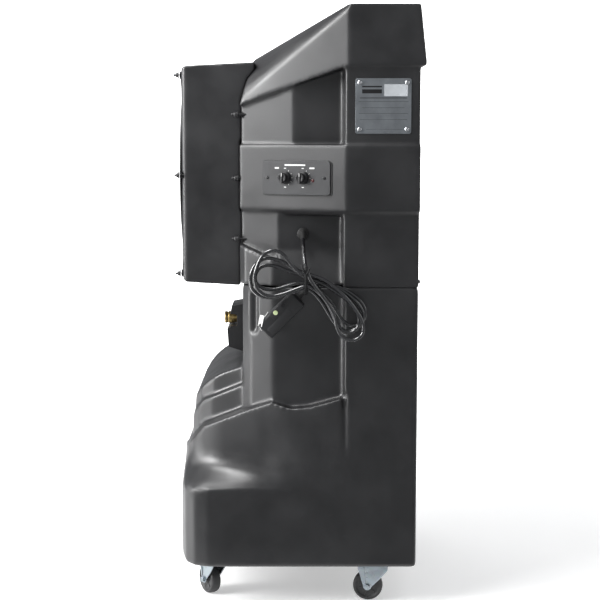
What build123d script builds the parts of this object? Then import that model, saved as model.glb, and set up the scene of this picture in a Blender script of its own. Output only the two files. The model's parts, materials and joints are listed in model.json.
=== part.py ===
from build123d import *
import os
import math

# Portable evaporative cooler, millimetres, +Z up, front (air outlet) towards -Y,
# media pad at the rear (+Y), control panel on the +X side.
# The origin is the middle of the footprint at floor level.
os.makedirs("parts", exist_ok=True)

# ---------------------------------------------------------------- driving sizes
YS = 7.0            # shift that puts the origin in the middle of the footprint
H_TOP = 1321.0      # overall height
HW = 365.0          # half width of the rear flat sides
HWB = 372.0         # half width of the hood lip and of the control band
Y_REAR = 257.0      # rear wall
Y_CREASE = 97.0     # where the tapered front part meets the flat side
Y_FRONT = -130.0    # front wall of the housing
HWF = 250.0         # half width at the front wall
Z_SEAM = 717.0      # joint between housing and reservoir
Z_TANK = 92.0       # underside of the reservoir
WALL = 6.0          # moulded wall
FAN_Z = 956.0       # fan axis height
BORE = 212.0        # radius of the air duct
BLADE_R = 203.0     # fan radius (406 mm, 16 in)
WHEEL_R = 33.5      # caster wheel radius
WHEEL_W = 24.0      # caster wheel width
CORD_D = 8.0        # power cord
NODES = []


def save(name, shape):
    """Writes one node, moved into the final frame."""
    if isinstance(shape, (list, tuple)):
        shape = Compound(children=[s.moved(Location((0, YS, 0))) for s in shape])
    else:
        shape = shape.moved(Location((0, YS, 0)))
    shape.label = name
    export_step(shape, "parts/%s.step" % name)
    NODES.append(name)


def poly(pts):
    return make_face(Polyline(*pts, close=True))


def plan(half, z0, z1, r=0.0, inset=0.0):
    """Vertical prism from half of a plan outline (x, y), mirrored in X."""
    pts = [(x, y, z0) for x, y in half] + [(-x, y, z0) for x, y in reversed(half)]
    f = poly(pts)
    if inset:
        f = offset(f, amount=-inset, kind=Kind.INTERSECTION).faces()[0]
    if r:
        f = fillet(f.vertices(), r)
    return extrude(f, amount=z1 - z0, dir=(0, 0, 1))


def side(pts, hw):
    """Prism across X from a side outline (y, z)."""
    f = poly([(-hw, y, z) for y, z in pts])
    return extrude(f, amount=2 * hw, dir=(1, 0, 0))


def box(x0, x1, y0, y1, z0, z1):
    return Pos((x0 + x1) / 2, (y0 + y1) / 2, (z0 + z1) / 2) * Box(x1 - x0, y1 - y0, z1 - z0)


def cyl(p, q, r):
    """Cylinder between two points."""
    p, q = Vector(*p), Vector(*q)
    d = q - p
    return Plane(origin=p, z_dir=d) * Cylinder(r, d.length, align=(Align.CENTER, Align.CENTER, Align.MIN))


def ring(p, q, ro, ri):
    return cyl(p, q, ro) - cyl(p, q, ri)


def mir(s):
    return mirror(s, about=Plane.YZ)


def cone(p, q, r0, r1):
    p, q = Vector(*p), Vector(*q)
    d = q - p
    return Plane(origin=p, z_dir=d) * Cone(r0, r1, d.length, align=(Align.CENTER, Align.CENTER, Align.MIN))


# ---------------------------------------------------------------- upper housing
UP1 = [(HW, Y_REAR), (HW, Y_CREASE), (307, 93), (307, -15), (HWF, Y_FRONT)]
UP2 = [(361, Y_REAR), (361, 94), (290, 91), (290, -48), (HWF, Y_FRONT)]
BAND = [(HWB, 262), (HWB, 99), (257, -134)]
HOOD = [(HWB, 269), (HWB, 104), (257, -134)]

upper = plan(UP1, 880, 1200)
upper += plan(UP2, Z_SEAM, 884)
# control band with sloping ledges
fb = poly([(x, y, 1024) for x, y in BAND] + [(-x, y, 1024) for x, y in reversed(BAND)])
upper += extrude(fb, amount=-140, dir=(0, 0, 1))
upper += extrude(fb, amount=14, dir=(0, 0, 1), taper=45)
fb2 = poly([(x, y, 884) for x, y in BAND] + [(-x, y, 884) for x, y in reversed(BAND)])
upper += extrude(fb2, amount=12, dir=(0, 0, -1), taper=45)
# ramp of the shallow lower pocket, and the diagonal shoulder of the lower body
SHO = [(336, 94), (326, -60), (290, -122), (268, -134)]


def shoulder(z0, slope_pts, half):
    return plan(half, z0, 900) & side(slope_pts, 400)


SH_LINE = [(-140, 690), (140, 690), (95, 712), (95, 712.5), (-140, 808)]
lower_body = plan([(352, 100)] + SHO, 690, 820) & side([(-140, 690), (100, 690), (100, 708), (-140, 808)], 400)
upper += lower_body & box(-400, 400, -200, 200, Z_SEAM, 830)
# pocket floor ramp
ramp = poly([(285, 91, 795), (290, 91, 795), (326, 91, 722), (326, 91, 700), (285, 91, 700)])
ramp = extrude(ramp, amount=139, dir=(0, -1, 0))
upper += (ramp + mir(ramp)) & box(-400, 400, -200, 200, Z_SEAM, 830)


# hood: arched front part with shoulders that sharpen towards the rear, straight rear part
def arch(y0, y1, hw, z0, z1, r):
    """Arched cross-section leaning from y0 at z0 to y1 at z1."""
    def p(x, z):
        return (x, y0 + (y1 - y0) * (z - z0) / (z1 - z0), z)
    pts = [p(-hw, z0), p(hw, z0)]
    n = 6
    out = list(pts)
    for i in range(n + 1):
        a = math.pi / 2 * i / n
        out.append(p(hw - r + r * math.cos(a), z1 - r * 0.86 + r * 0.86 * math.sin(a)))
    for i in range(n + 1):
        a = math.pi / 2 * (1 - i / n)
        out.append(p(-hw + r - r * math.cos(a), z1 - r * 0.86 + r * 0.86 * math.sin(a)))
    return poly(out)


hood_front = loft([arch(-134, -104, 257, 1110, 1214, 104), arch(104, 104, HWB, 1191, H_TOP, 14)], ruled=True)
hood_rear = side([(104, 1191), (269, 1191), (269, 1202), (256, H_TOP), (104, H_TOP)], HWB)
hood_rear = hood_rear & plan([(HWB, 269), (HWB, 60)], 1150, 1400)
hood = hood_front + hood_rear
# body under the hood follows the sloping lip
under = side([(-150, 700), (Y_REAR + 1, 700), (Y_REAR + 1, 1194), (104, 1194), (-134, 1112), (-150, 1112)], 400)
upper = (upper & under) + hood

# cavity
ci = WALL
cav = plan(UP1, 876, 1320, inset=ci + 1) & side([(-123, 800), (250, 800), (250, 1190), (243, H_TOP - 7), (104, H_TOP - 7), (-100, 1206), (-123, 1160)], 400)
hf_in = loft([arch(-128, -98, 249, 1090, 1206, 100), arch(104.5, 104.5, 358, 1090, H_TOP - 7, 14)], ruled=True)
cav_h = hf_in + box(-358, 358, 104, 250, 1090, H_TOP - 7)
cav = cav & (cav_h + box(-400, 400, -200, 300, 700, 1110))
cav += plan(UP2, Z_SEAM - 5, 880, inset=ci + 1) & box(-400, 400, -123, 250, 700, 890)
cav += plan(BAND, 890, 1018, inset=8) & box(-400, 400, -123, 250, 880, 1030)
upper -= cav
# air outlet, pad opening, openings for the control plate and the cord gland
upper -= cyl((0, -150, FAN_Z), (0, -110, FAN_Z), BORE + 3)
upper -= box(-326, 326, 240, 275, 742, 1178)
nlen = math.hypot(115, 233)
TAPER = (233 / nlen, -115 / nlen, 0)      # outward normal of the tapered side
ALONG = (115 / nlen, 233 / nlen, 0)       # along the tapered side, towards the rear


def on_panel(u, z, out=0.0):
    """Point on the control face: u from its front end, z up, out along the normal."""
    return (257 + ALONG[0] * u + TAPER[0] * out, -134 + ALONG[1] * u + TAPER[1] * out, z)


def panel_plane(u, z, out=0.0):
    return Plane(origin=on_panel(u, z, out), x_dir=ALONG, z_dir=TAPER)


PU, PZ = 141.0, 953.0          # centre of the control plate on the face
upper -= panel_plane(PU, PZ, -15) * Box(128, 52, 40)
GL = (290.0, 6.5, 829.0)       # cord gland on the lower pocket wall
upper -= cyl((270, GL[1], GL[2]), (300, GL[1], GL[2]), 8.0)
print("upper", len(upper.solids()), round(upper.volume / 1e6, 2), upper.is_valid)

# ---------------------------------------------------------------- reservoir
WAIST = [(361, Y_REAR), (361, Y_CREASE), (338, 94), (328, -60), (298, -110), (270, -128)]
BASE = [(361, Y_REAR), (361, -205), (350, -236), (325, -256), (285, -266), (240, -268.5)]
CUP = [(362, 120), (361, 60), (352, -20), (335, -80), (305, -165), (285, -205), (255, -240), (215, -258), (150, -266)]
CLOW = [(361, 120), (360.9, 60), (360.8, -20), (360.7, -80), (360.5, -200), (350, -236), (325, -256), (285, -265), (220, -268)]
BUP = [(285, -60), (268, -128), (238, -200), (215, -232), (180, -247), (140, -251)]
AUP = [(268, -60), (252, -128), (224, -196), (201, -226), (165, -241), (120, -247)]
tank = plan(WAIST, 262, Z_SEAM)
tank += plan(BASE, Z_TANK, 270) & side([(260, 92), (-246, 92), (-262, 96), (-268.7, 108), (-266, 262), (-260, 271), (260, 271)], 400)

# the corner of the base runs out into the taper above it in small lifts
LIFTS = [(262, 271, 0.10), (270, 278, 0.27), (277, 285, 0.47), (284, 292, 0.67), (291, 299, 0.84), (298, 306, 0.95)]
for z0, z1, f in LIFTS:
    tank += plan([(a[0] + (b[0] - a[0]) * f, a[1] + (b[1] - a[1]) * f) for a, b in zip(CLOW, CUP)], z0, z1)
tank += plan(CUP, 305, 520) & side([(110, 200), (-266, 200), (-266, 320), (-262.5, 331), (-254.5, 345), (-247, 356), (-217, 395), (-126, 437), (-63, 461.5), (-42, 455), (-21, 449), (20, 453), (90, 473), (110, 473)], 400)
tank += plan(BUP, 250, 520) & side([(-70, 250), (-251, 250), (-251, 345), (-250, 380), (-248, 397), (-243.5, 413), (-233, 428), (-220.5, 445), (-131, 487), (-70, 500)], 400)
tank += plan(AUP, 250, 560) & side([(-70, 250), (-247, 250), (-247, 413), (-245, 429), (-240, 447), (-228, 467), (-214, 483), (-198, 496), (-178, 508), (-159, 516), (-136, 525), (-70, 540)], 400)
# upright groove beside the front corner of the waist
groove = box(-400, 400, -121, -93, 622, 700) + cyl((-400, -107, 622), (400, -107, 622), 14)
tank -= groove & (box(295.5, 400, -140, -80, 590, 710) + box(-400, -295.5, -140, -80, 590, 710))
# crease that runs down from the rear corner of the waist and dies out
for s in (-1, 1):
    tank -= cyl((s * 363.0, 96, 486), (s * 369.5, 99, 338), 7.5)
tcav = plan(WAIST, 108, Z_SEAM + 5, inset=8)
tcav += box(-352, 352, -200, 249, 108, 262)
tcav += box(-290, 290, -256, -100, 108, 262)
tcav += box(-178, 178, -230, -110, 200, 412) + box(-228, 228, -186, -110, 200, 436)
# the wall follows the groove on the inside
tcav -= box(287, 400, -124, -82, 604, 704) + box(-400, -287, -124, -82, 604, 704)
tank -= tcav
lip = plan(UP2, Z_SEAM - 12, 735, inset=7.3) - plan(UP2, Z_SEAM - 20, 740, inset=12)
lip = lip & box(-400, 400, -122, 249.5, 700, 736)
tank += lip
CASTERS = {"front_right": (270, -194, 58.0), "rear_right": (300, 178, 8.0),
           "front_left": (-270, -194, 20.0), "rear_left": (-300, 178, 215.0)}
for cx, cy, _ in CASTERS.values():
    tank -= box(cx - 34, cx + 34, cy - 34, cy + 34, 90, 100)
IN = (0.0, 606.0)               # water inlet axis, x and z
tank -= cyl((IN[0], -140, IN[1]), (IN[0], -100, IN[1]), 10.5)
DR = (-250.0, 128.0)            # drain axis
tank -= cyl((DR[0], 240, DR[1]), (DR[0], 262, DR[1]), 8.5)
SEAM = [(-300, 724), (0, 724), (300, 724)]
for sx, sz in SEAM:
    tank -= cyl((sx, 243, sz), (sx, 260, sz), 2.5)
    upper -= cyl((sx, 245, sz), (sx, 260, sz), 2.5)
print("tank", len(tank.solids()), round(tank.volume / 1e6, 2), tank.is_valid)

# ---------------------------------------------------------------- fan box
def rect(hw, z0, z1, y):
    return poly([(-hw, y, z0), (hw, y, z0), (hw, y, z1), (-hw, y, z1)])


shroud = loft([rect(247, 708, 1205, -100), rect(241, 717, 1197, -264)], ruled=True)
fe = [e for e in shroud.edges() if e.center().Y < -262]
shroud = fillet(fe, 12)
shroud_in = loft([rect(242, 713, 1200, -99), rect(236, 722, 1192, -258)], ruled=True)
solid_front = (under & (plan(UP1, 700, 1200) + plan(BAND, 875, 1035))) + hood_front
shroud = shroud - shroud_in - solid_front - (lower_body + plan(UP2, Z_SEAM, 884) + tank)
shroud -= cyl((0, -270, FAN_Z), (0, -250, FAN_Z), BORE + 3)
shroud = sorted(shroud.solids(), key=lambda s: s.volume)[-1]
duct = ring((0, -264, FAN_Z), (0, -123, FAN_Z), BORE + 3, BORE)
BOLTZ = [1090, 950, 815]
bolts = []
for z in BOLTZ:
    for s in (-1, 1):
        b = cyl((s * 254, -150, z), (s * 252, -106, z), 3.0) + cyl((s * 254, -145, z), (s * 254, -136, z), 6.5) + cyl((s * 254, -152, z), (s * 254, -145, z), 3.2)
        bolts.append(b)
        upper -= cyl((s * 254, -150, z), (s * 252, -106, z), 3.0)
        upper -= cyl((s * 254, -150, z), (s * 254, -134, z), 6.5)
        shroud -= cyl((s * 254, -152, z), (s * 254, -106, z), 7.2)
# guard: concentric wires on eight radial wires, domed
def gy(r):
    return -272.5 + 5.5 * (r / 228.0) ** 2


guard = None
rr = 228.0
while rr > 20:
    y = gy(rr)
    g = ring((0, y - 1.5, FAN_Z), (0, y + 1.5, FAN_Z), rr + 1.5, rr - 1.5)
    guard = g if guard is None else guard + g
    rr -= 13.6
guard += cyl((0, gy(0) - 2, FAN_Z), (0, gy(0) + 3.5, FAN_Z), 22)
for i in range(8):
    a = math.radians(45 * i)
    rb = 239 if i % 2 == 0 else 318
    bar = box(0, rb, -267.2 - 5.0, -267.2 + 0, -2, 2)
    bar = box(0, rb, -271.0, -264.2, -2, 2) if i % 2 else box(0, rb, -271.0, -264.0, -2, 2)
    if i % 2 == 0:
        bar += box(229, 243, -268.5, -264.0, -8, 8)
    else:
        bar += box(304, 321, -268.5, -264.0, -8, 8)
    bar = Pos(0, 0, FAN_Z) * (Rot(0, 45 * i, 0) * bar)
    guard += bar
GS = [(0, 236), (236, 0), (0, -236), (-236, 0), (221.5, 221.5), (-221.5, 221.5), (221.5, -221.5), (-221.5, -221.5)]
gscrews = []
for gx, gz in GS:
    guard -= cyl((gx, -275, FAN_Z + gz), (gx, -260, FAN_Z + gz), 2.5)
    shroud -= cyl((gx, -270, FAN_Z + gz), (gx, -250, FAN_Z + gz), 2.5)
    gscrews.append(cyl((gx, -276, FAN_Z + gz), (gx, -252, FAN_Z + gz), 2.5) + cyl((gx, -276.5, FAN_Z + gz), (gx, -271, FAN_Z + gz), 5.0) + cyl((gx, -281, FAN_Z + gz), (gx, -275, FAN_Z + gz), 2.6))
print("shroud", len(shroud.solids()), shroud.is_valid, "guard", len(guard.solids()), guard.is_valid)

# fan, shaft and motor
shaft = cyl((0, -224, FAN_Z), (0, -60, FAN_Z), 6.0)
hub = ring((0, -212, FAN_Z), (0, -172, FAN_Z), 34, 6.0) + ring((0, -206, FAN_Z), (0, -204, FAN_Z), 62, 30) 
blades = []
for i in range(5):
    bl = Pos(118, 0, 0) * (Rot(0, 0, 0) * (Rot(27, 0, 0) * Box(176, 3, 118)))
    bl = bl & cyl((0, -60, 0), (0, 60, 0), BLADE_R)
    bl = bl - cyl((0, -60, 0), (0, 60, 0), 34.0)
    bl = Pos(0, -192, FAN_Z) * (Rot(0, 72 * i, 0) * bl)
    bl = bl - ring((0, -206, FAN_Z), (0, -204, FAN_Z), 62, 30)
    blades += [s for s in bl.solids() if s.volume > 500]
motor = cyl((0, -115, FAN_Z), (0, 40, FAN_Z), 74) + cyl((0, -119, FAN_Z), (0, -114, FAN_Z), 30) + cyl((0, 39, FAN_Z), (0, 52, FAN_Z), 62)
motor += Pos(0, -30, FAN_Z + 84) * Box(70, 90, 34)
motor -= cyl((0, -130, FAN_Z), (0, -58, FAN_Z), 6.05)
mount = None
for s in (-1, 1):
    b = box(s * 78 - 15, s * 78 + 15, -123, -119, 736, 1148)
    mount = b if mount is None else mount + b
mount += box(-95, 95, -119, -115, FAN_Z - 60, FAN_Z + 60)
mount -= cyl((0, -125, FAN_Z), (0, -110, FAN_Z), 30.5)
mbolts = []
for sx in (-1, 1):
    for sz in (-1, 1):
        x, z = sx * 70, FAN_Z + sz * 45
        mount -= cyl((x, -125, z), (x, -110, z), 4)
        mbolts.append(cyl((x, -129, z), (x, -111, z), 4) + cyl((x, -128.5, z), (x, -123, z), 7))
motor += box(-86, 86, -115, -107, FAN_Z - 58, FAN_Z + 58)
for sx in (-1, 1):
    for sz in (-1, 1):
        x, z = sx * 70, FAN_Z + sz * 45
        motor -= cyl((x, -125, z), (x, -105, z), 4)
motor -= cyl((0, -130, FAN_Z), (0, -58, FAN_Z), 6.05)

# ---------------------------------------------------------------- wet side
pad = box(-322, 322, 158, 238, 744, 1174)
frame_r = box(-325, 325, 238.3, 249, 743, 1177) - box(-303, 303, 230, 260, 765, 1155)
for i in range(1, 6):
    x = -303 + 101 * i
    frame_r += box(x - 3, x + 3, 240, 247, 760, 1160)
for i in range(1, 5):
    z = 765 + 78 * i
    frame_r += box(-306, 306, 240, 247, z - 3, z + 3)
tray = box(-353, 353, 152, 249, 735.2, 741) - box(-300, 300, 170, 225, 730, 745)
seam = [cyl((x, 244, z), (x, 257.5, z), 2.5) + cone((x, 257, z), (x, 265, z), 6.5, 3.0) for x, z in SEAM]
PIPE = (200, 1206)
pipe = ring((-350, PIPE[0], PIPE[1]), (350, PIPE[0], PIPE[1]), 11, 9) 
pipe += cyl((-358, PIPE[0], PIPE[1]), (-344, PIPE[0], PIPE[1]), 13.5) + cyl((344, PIPE[0], PIPE[1]), (358, PIPE[0], PIPE[1]), 13.5)
pipe += cyl((225, PIPE[0], PIPE[1]), (275, PIPE[0], PIPE[1]), 14) - cyl((224, PIPE[0], PIPE[1]), (276, PIPE[0], PIPE[1]), 9)
pipe += ring((250, 160, PIPE[1]), (250, 191, PIPE[1]), 9, 7) 
for i in range(15):
    pipe -= cyl((-280 + 37 * i, PIPE[0], PIPE[1]), (-280 + 37 * i, PIPE[0], PIPE[1] + 15), 1.5)
PUMP = (250, 60)
hp = [(PUMP[0], PUMP[1], 222), (PUMP[0], PUMP[1], 420), (PUMP[0], 118, 620), (PUMP[0], 118, 1206), (PUMP[0], 162, 1206)]
hpath = FilletPolyline(*hp, radius=[150, 150, 36])
hose = sweep(Plane(origin=hp[0], z_dir=(0, 0, 1)) * Circle(12.0), path=hpath) - sweep(Plane(origin=hp[0], z_dir=(0, 0, 1)) * Circle(9.0), path=hpath)
pump = box(205, 295, 20, 100, 132, 200) + cyl((250, 60, 198), (250, 60, 226), 15) 
pump -= cyl((250, 60, 190), (250, 60, 230), 6)
pump += ring((250, 60, 226), (250, 60, 240), 9, 6)
hose_cut = cyl((250, 60, 215), (250, 60, 226), 16)
pump = pump - ring((250, 60, 221.9), (250, 60, 226), 16, 9.0)
strainer = box(195, 305, 10, 110, 108, 132) - box(200, 300, 15, 105, 106, 127)
for i in range(9):
    strainer -= box(203 + 11 * i, 208 + 11 * i, 0, 120, 112, 124)

# float valve
fv = cyl((0, -120, IN[1]), (0, -96, IN[1]), 15) + box(-14, 14, -98, -72, IN[1] - 20, IN[1] + 14)
fv -= box(-5.5, 5.5, -90, -60, IN[1] - 25, IN[1] + 2)
PIV = (-80.0, IN[1] - 8)
fv -= cyl((-20, PIV[0], PIV[1]), (20, PIV[0], PIV[1]), 2.5)
fpin = cyl((-16, PIV[0], PIV[1]), (16, PIV[0], PIV[1]), 2.45)
BALL = (96.0, IN[1] - 96)
arm = cyl((0, PIV[0], PIV[1]), (0, BALL[0] - 28, BALL[1] + 14.5), 3.0)
arm += cyl((-4.5, PIV[0], PIV[1]), (4.5, PIV[0], PIV[1]), 7) 
arm -= cyl((-20, PIV[0], PIV[1]), (20, PIV[0], PIV[1]), 2.5)
d = Vector(0, BALL[0] - 28 - PIV[0], BALL[1] + 14.5 - PIV[1]).normalized()
tip = Vector(0, BALL[0] - 28, BALL[1] + 14.5)
ballc = tip + d * 46
ball = Pos(ballc.X, ballc.Y, ballc.Z) * Sphere(48)
ball -= cyl((0, PIV[0], PIV[1]), tuple(tip), 3.0)
print("float", arm.is_valid, ball.is_valid, tuple(ballc))
inlet = cyl((0, -150, IN[1]), (0, -120, IN[1]), 10.5) - cyl((0, -151, IN[1]), (0, -120, IN[1]), 6)
inlet += ring((0, -168, IN[1]), (0, -150, IN[1]), 9.0, 6)
nut = ring((0, -182, IN[1]), (0, -152, IN[1]), 14.5, 9.05)
nut -= cyl((0, -183, IN[1]), (0, -170, IN[1]), 12.2)
cover = side([(-128, 646), (-163, 640), (-166, 623), (-166, 589), (-174, 585), (-171, 542), (-139, 531.5), (-128, 533)], 58)
cover -= box(-60, 60, -190, -150.5, 586, 625)
cover -= cyl((0, -152, IN[1]), (0, -120, IN[1]), 10.5)
plug_d = cyl((DR[0], 257.3, DR[1]), (DR[0], 266, DR[1]), 26) + cyl((DR[0], 243, DR[1]), (DR[0], 258, DR[1]), 8.43)
plug_d -= box(DR[0] - 4, DR[0] + 4, 262, 270, DR[1] - 30, DR[1] - 5) + box(DR[0] - 4, DR[0] + 4, 262, 270, DR[1] + 5, DR[1] + 30)

# ---------------------------------------------------------------- controls
def on(u, z, o0, o1, w, h, r=0.0):
    """Block on the control face: width along, height up, from o0 to o1 out."""
    with_r = Rectangle(w, h) if not r else RectangleRounded(w, h, r)
    return extrude(panel_plane(u, z, o0) * with_r, amount=o1 - o0)


def rod(u, z, o0, o1, r):
    return extrude(panel_plane(u, z, o0) * Circle(r), amount=o1 - o0)


KN = [(115.0, 953.0), (158.0, 953.0)]
PS = [(PU - 70, PZ), (PU + 68, PZ)]
LED = (182.0, 947.5)
upper -= rod(PU, PZ, -0.1, 0, 1)
gasket = on(PU + 1.5, PZ - 1.5, 0, 1.5, 168, 78, 9) - on(PU, PZ, -1, 3, 122, 46)
plate = on(PU, PZ, 1.5, 4.0, 165, 75, 8)
ebox = on(PU, PZ, -56, 0, 126, 50) - on(PU, PZ, -53, 1, 120, 44)
switches, knobs = [], []
for u, z in KN:
    sw = on(u, z, -34, 1.2, 30, 30) + rod(u, z, 1, 7, 5.9)
    sw -= rod(u, z, -22, 10, 3.05)
    switches.append(sw)
    plate -= rod(u, z, 0, 5, 6.0)
    kb = rod(u, z, 7.6, 11.5, 13.5) + rod(u, z, 11.5, 19.5, 10.5) + on(u, z, 11.5, 23, 7.5, 24, 2)
    kb += rod(u, z, -21, 8, 3.0)
    knobs.append(kb)
pscrews = []
for u, z in PS:
    pscrews.append(rod(u, z, 4.0, 6.2, 3.8) + rod(u, z, -10, 4.2, 1.9))
    plate -= rod(u, z, 0, 5, 1.95)
    gasket -= rod(u, z, -1, 5, 1.95)
    upper -= rod(u, z, -14, 5, 1.95)
plate -= rod(LED[0], LED[1], 0, 5, 2.95)
lamp = rod(LED[0], LED[1], -14, 4.0, 2.9) + rod(LED[0], LED[1], 4.0, 6.4, 3.7)

# cord gland, flanged, pointing out and down
gdir = (0.894, 0.0, -0.447)
gland = cyl((290, GL[1], GL[2]), (294, GL[1], GL[2]), 13) + cyl((276, GL[1], GL[2]), (292, GL[1], GL[2]), 7.9)
P0 = (316.0, 6.5, 819.0)
gland += cone((P0[0] - gdir[0] * 22, P0[1], P0[2] - gdir[2] * 22), P0, 10.0, 6.5)
gland += cyl((293, GL[1], GL[2] - 1), (299, GL[1], GL[2] - 1), 8.5)

# nameplate, blank
name_pl = box(HW, HW + 1.5, 118, 237, 1048, 1165)
name_pl = fillet([e for e in name_pl.edges() if abs(e.tangent_at(0).X) > 0.9], 4)
nscrews = []
for y in (127, 228):
    for z in (1057, 1156):
        nscrews.append(cyl((HW + 1.5, y, z), (HW + 4.2, y, z), 5.0) + cyl((HW - 10, y, z), (HW + 2, y, z), 2.0))
        name_pl -= cyl((HW - 1, y, z), (HW + 5, y, z), 2.0)
        upper -= cyl((HW - 20, y, z), (HW + 5, y, z), 2.0)

# ---------------------------------------------------------------- power cord
ROUTE = [P0, (356.0, 8.0, 799.0), (393.0, 10.0, 757.0)]
rad = []
for i in range(1, len(ROUTE) - 1):
    a, b, c = (Vector(*ROUTE[i - 1]), Vector(*ROUTE[i]), Vector(*ROUTE[i + 1]))
    turn = math.radians((b - a).get_angle(c - b))
    rad.append(0.45 * min((b - a).length, (c - b).length) / math.tan(turn / 2))
print("cord radii", [round(r, 1) for r in rad])
path = FilletPolyline(*ROUTE, radius=rad)
cord = sweep(Plane(origin=P0, z_dir=path % 0) * Circle(CORD_D / 2), path=path)
print("cord volume ratio", round(cord.volume / (math.pi * 16 * path.length), 4), "length", round(path.length, 1))
HK0, HK1 = 384.0, 410.0        # thickness of the tied hank, from and to


def yz(pts, x0, x1):
    return extrude(poly([(x0, y, z) for y, z in pts]), amount=x1 - x0, dir=(1, 0, 0))


hank = yz([(-109, 745), (-98, 783), (-62, 803), (-44, 803), (-19, 784), (8, 768), (22, 766), (55, 757), (98, 724), (134, 672), (143, 640), (126, 609), (104, 609), (72, 640), (36, 690), (19, 712), (8, 712), (-22, 698), (-84, 688), (-104, 706)], HK0, HK1)
tie = box(HK0 - 2, HK1 + 2, 6, 20, 708, 771) - box(HK0, HK1, 0, 30, 711, 768.2)
hank = hank & (box(300, 500, -300, 6, 0, 900) + box(300, 500, 20, 300, 0, 900) + box(300, 500, 0, 30, 711, 768.2))
GC = Vector(367.0, -40.6, 659.0)
GA = Vector(0, 0.7071, 0.7071)
gpl = Plane(origin=GC, x_dir=GA, z_dir=(1, 0, 0))
gf = gpl * Box(104, 43, 30)
gf = fillet(gf.edges(), 4.5)
T = GC + GA * 50
gf += cone(tuple(T), (392.0, 9.0, 722.0), 7.0, 5.0)
gbut = []
for du, dv in ((-4, 15.5), (18, 15.5)):
    c = gpl * Pos(du, dv * 0 + 13.0, 0)
    gf -= gpl * Pos(du, 13.0, 12.5) * Cylinder(5.4, 7)
    gbut.append(gpl * Pos(du, 13.0, 13.0) * Cylinder(5.0, 4.6))
pins = []
for du, dv, w, t in ((-34, 6.5, 6.5, 1.5), (-34, -6.5, 8.0, 1.5)):
    pins.append(gpl * Pos(du, dv, -23.25) * Box(w, t, 16.5))
pins.append(gpl * Pos(-22, 0, -24.25) * Cylinder(2.4, 18.5))
pins = [p for p in pins]

# ---------------------------------------------------------------- casters
def place(s, key):
    cx, cy, th = CASTERS[key]
    return Pos(cx, cy, 0) * (Rot(0, 0, -th) * s)


TRAIL = 24.5
plates, forks, wheels, axles = [], {}, {}, {}
for key, (cx, cy, th) in CASTERS.items():
    p = box(-33, 33, -33, 33, 97, 100) + cyl((0, 0, 88), (0, 0, 97.2), 22) + cyl((0, 0, 79), (0, 0, 90), 5.0)
    for hx in (-26, 26):
        for hy in (-26, 26):
            p += cyl((hx, hy, 94.5), (hx, hy, 98), 4.5)
    plates.append(Pos(cx, cy, 0) * p)
    f = cyl((0, 0, 84.5), (0, 0, 87.5), 24) + box(-17, 17, -44, 20, 82, 84.6)
    for s in (-1, 1):
        leg = poly([(s * 14.5, 20, 84.6), (s * 14.5, -46, 84.6), (s * 14.5, -33, 30), (s * 14.5, -28, 25.5), (s * 14.5, -TRAIL, 24.5), (s * 14.5, -21, 25.5), (s * 14.5, -16, 30)])
        f += extrude(leg, amount=2.5, dir=(s, 0, 0))
    f -= cyl((0, 0, 70), (0, 0, 100), 5.08)
    f -= cyl((-20, -TRAIL, WHEEL_R), (20, -TRAIL, WHEEL_R), 4.0)
    ax = cyl((-19.5, -TRAIL, WHEEL_R), (19.5, -TRAIL, WHEEL_R), 4.0)
    ax += cyl((17, -TRAIL, WHEEL_R), (20.5, -TRAIL, WHEEL_R), 6.5) + cyl((-20.5, -TRAIL, WHEEL_R), (-17, -TRAIL, WHEEL_R), 6.5)
    w = cyl((-WHEEL_W / 2, -TRAIL, WHEEL_R), (WHEEL_W / 2, -TRAIL, WHEEL_R), WHEEL_R)
    w = fillet(w.edges(), 5.0)
    for s in (-1, 1):
        w -= ring((s * 12.5, -TRAIL, WHEEL_R), (s * 9, -TRAIL, WHEEL_R), 24, 12)
    w -= cyl((-20, -TRAIL, WHEEL_R), (20, -TRAIL, WHEEL_R), 4.09)
    forks[key], axles[key], wheels[key] = place(f, key), place(ax, key), place(w, key)

# ---------------------------------------------------------------- write the nodes
save("upper_housing", upper)
save("reservoir_tank", tank)
save("fan_shroud", shroud)
save("air_duct", duct)
save("fan_guard", guard)
save("guard_screws", gscrews)
save("shroud_bolts", bolts)
save("fan_motor", motor)
save("motor_mount", mount)
save("motor_bolts", mbolts)
save("fan_shaft", shaft)
save("fan_hub", hub)
save("fan_blades", blades)
save("media_pad", pad)
save("pad_frame", frame_r)
save("pad_tray", tray)
save("seam_screws", seam)
save("water_distributor", pipe)
save("supply_hose", hose)
save("pump_body", pump)
save("pump_strainer", strainer)
save("float_valve", fv)
save("float_pin", fpin)
save("float_arm", arm)
save("float_ball", ball)
save("brass_inlet", inlet)
save("swivel_nut", nut)
save("inlet_cover", cover)
save("drain_plug", plug_d)
save("control_plate", plate)
save("plate_gasket", gasket)
save("plate_screws", pscrews)
save("fan_knob", knobs[0])
save("pump_knob", knobs[1])
save("rotary_switches", switches)
save("indicator_lamp", lamp)
save("electrical_box", ebox)
save("cord_gland", gland)
save("power_cord", cord)
save("cord_hank", hank)
save("cord_tie", tie)
save("gfci_housing", gf)
save("gfci_reset_button", gbut[0])
save("gfci_test_button", gbut[1])
save("plug_pins", pins)
save("nameplate", name_pl)
save("nameplate_screws", nscrews)
save("caster_plates", plates)
for key in CASTERS:
    save("caster_fork_" + key, forks[key])
    save("caster_axle_" + key, axles[key])
    save("caster_wheel_" + key, wheels[key])
print(len(NODES), "nodes")
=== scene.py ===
import bpy
import bmesh
import json
import numpy as np
import math
import random
from mathutils import Vector, Matrix, Quaternion


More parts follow.
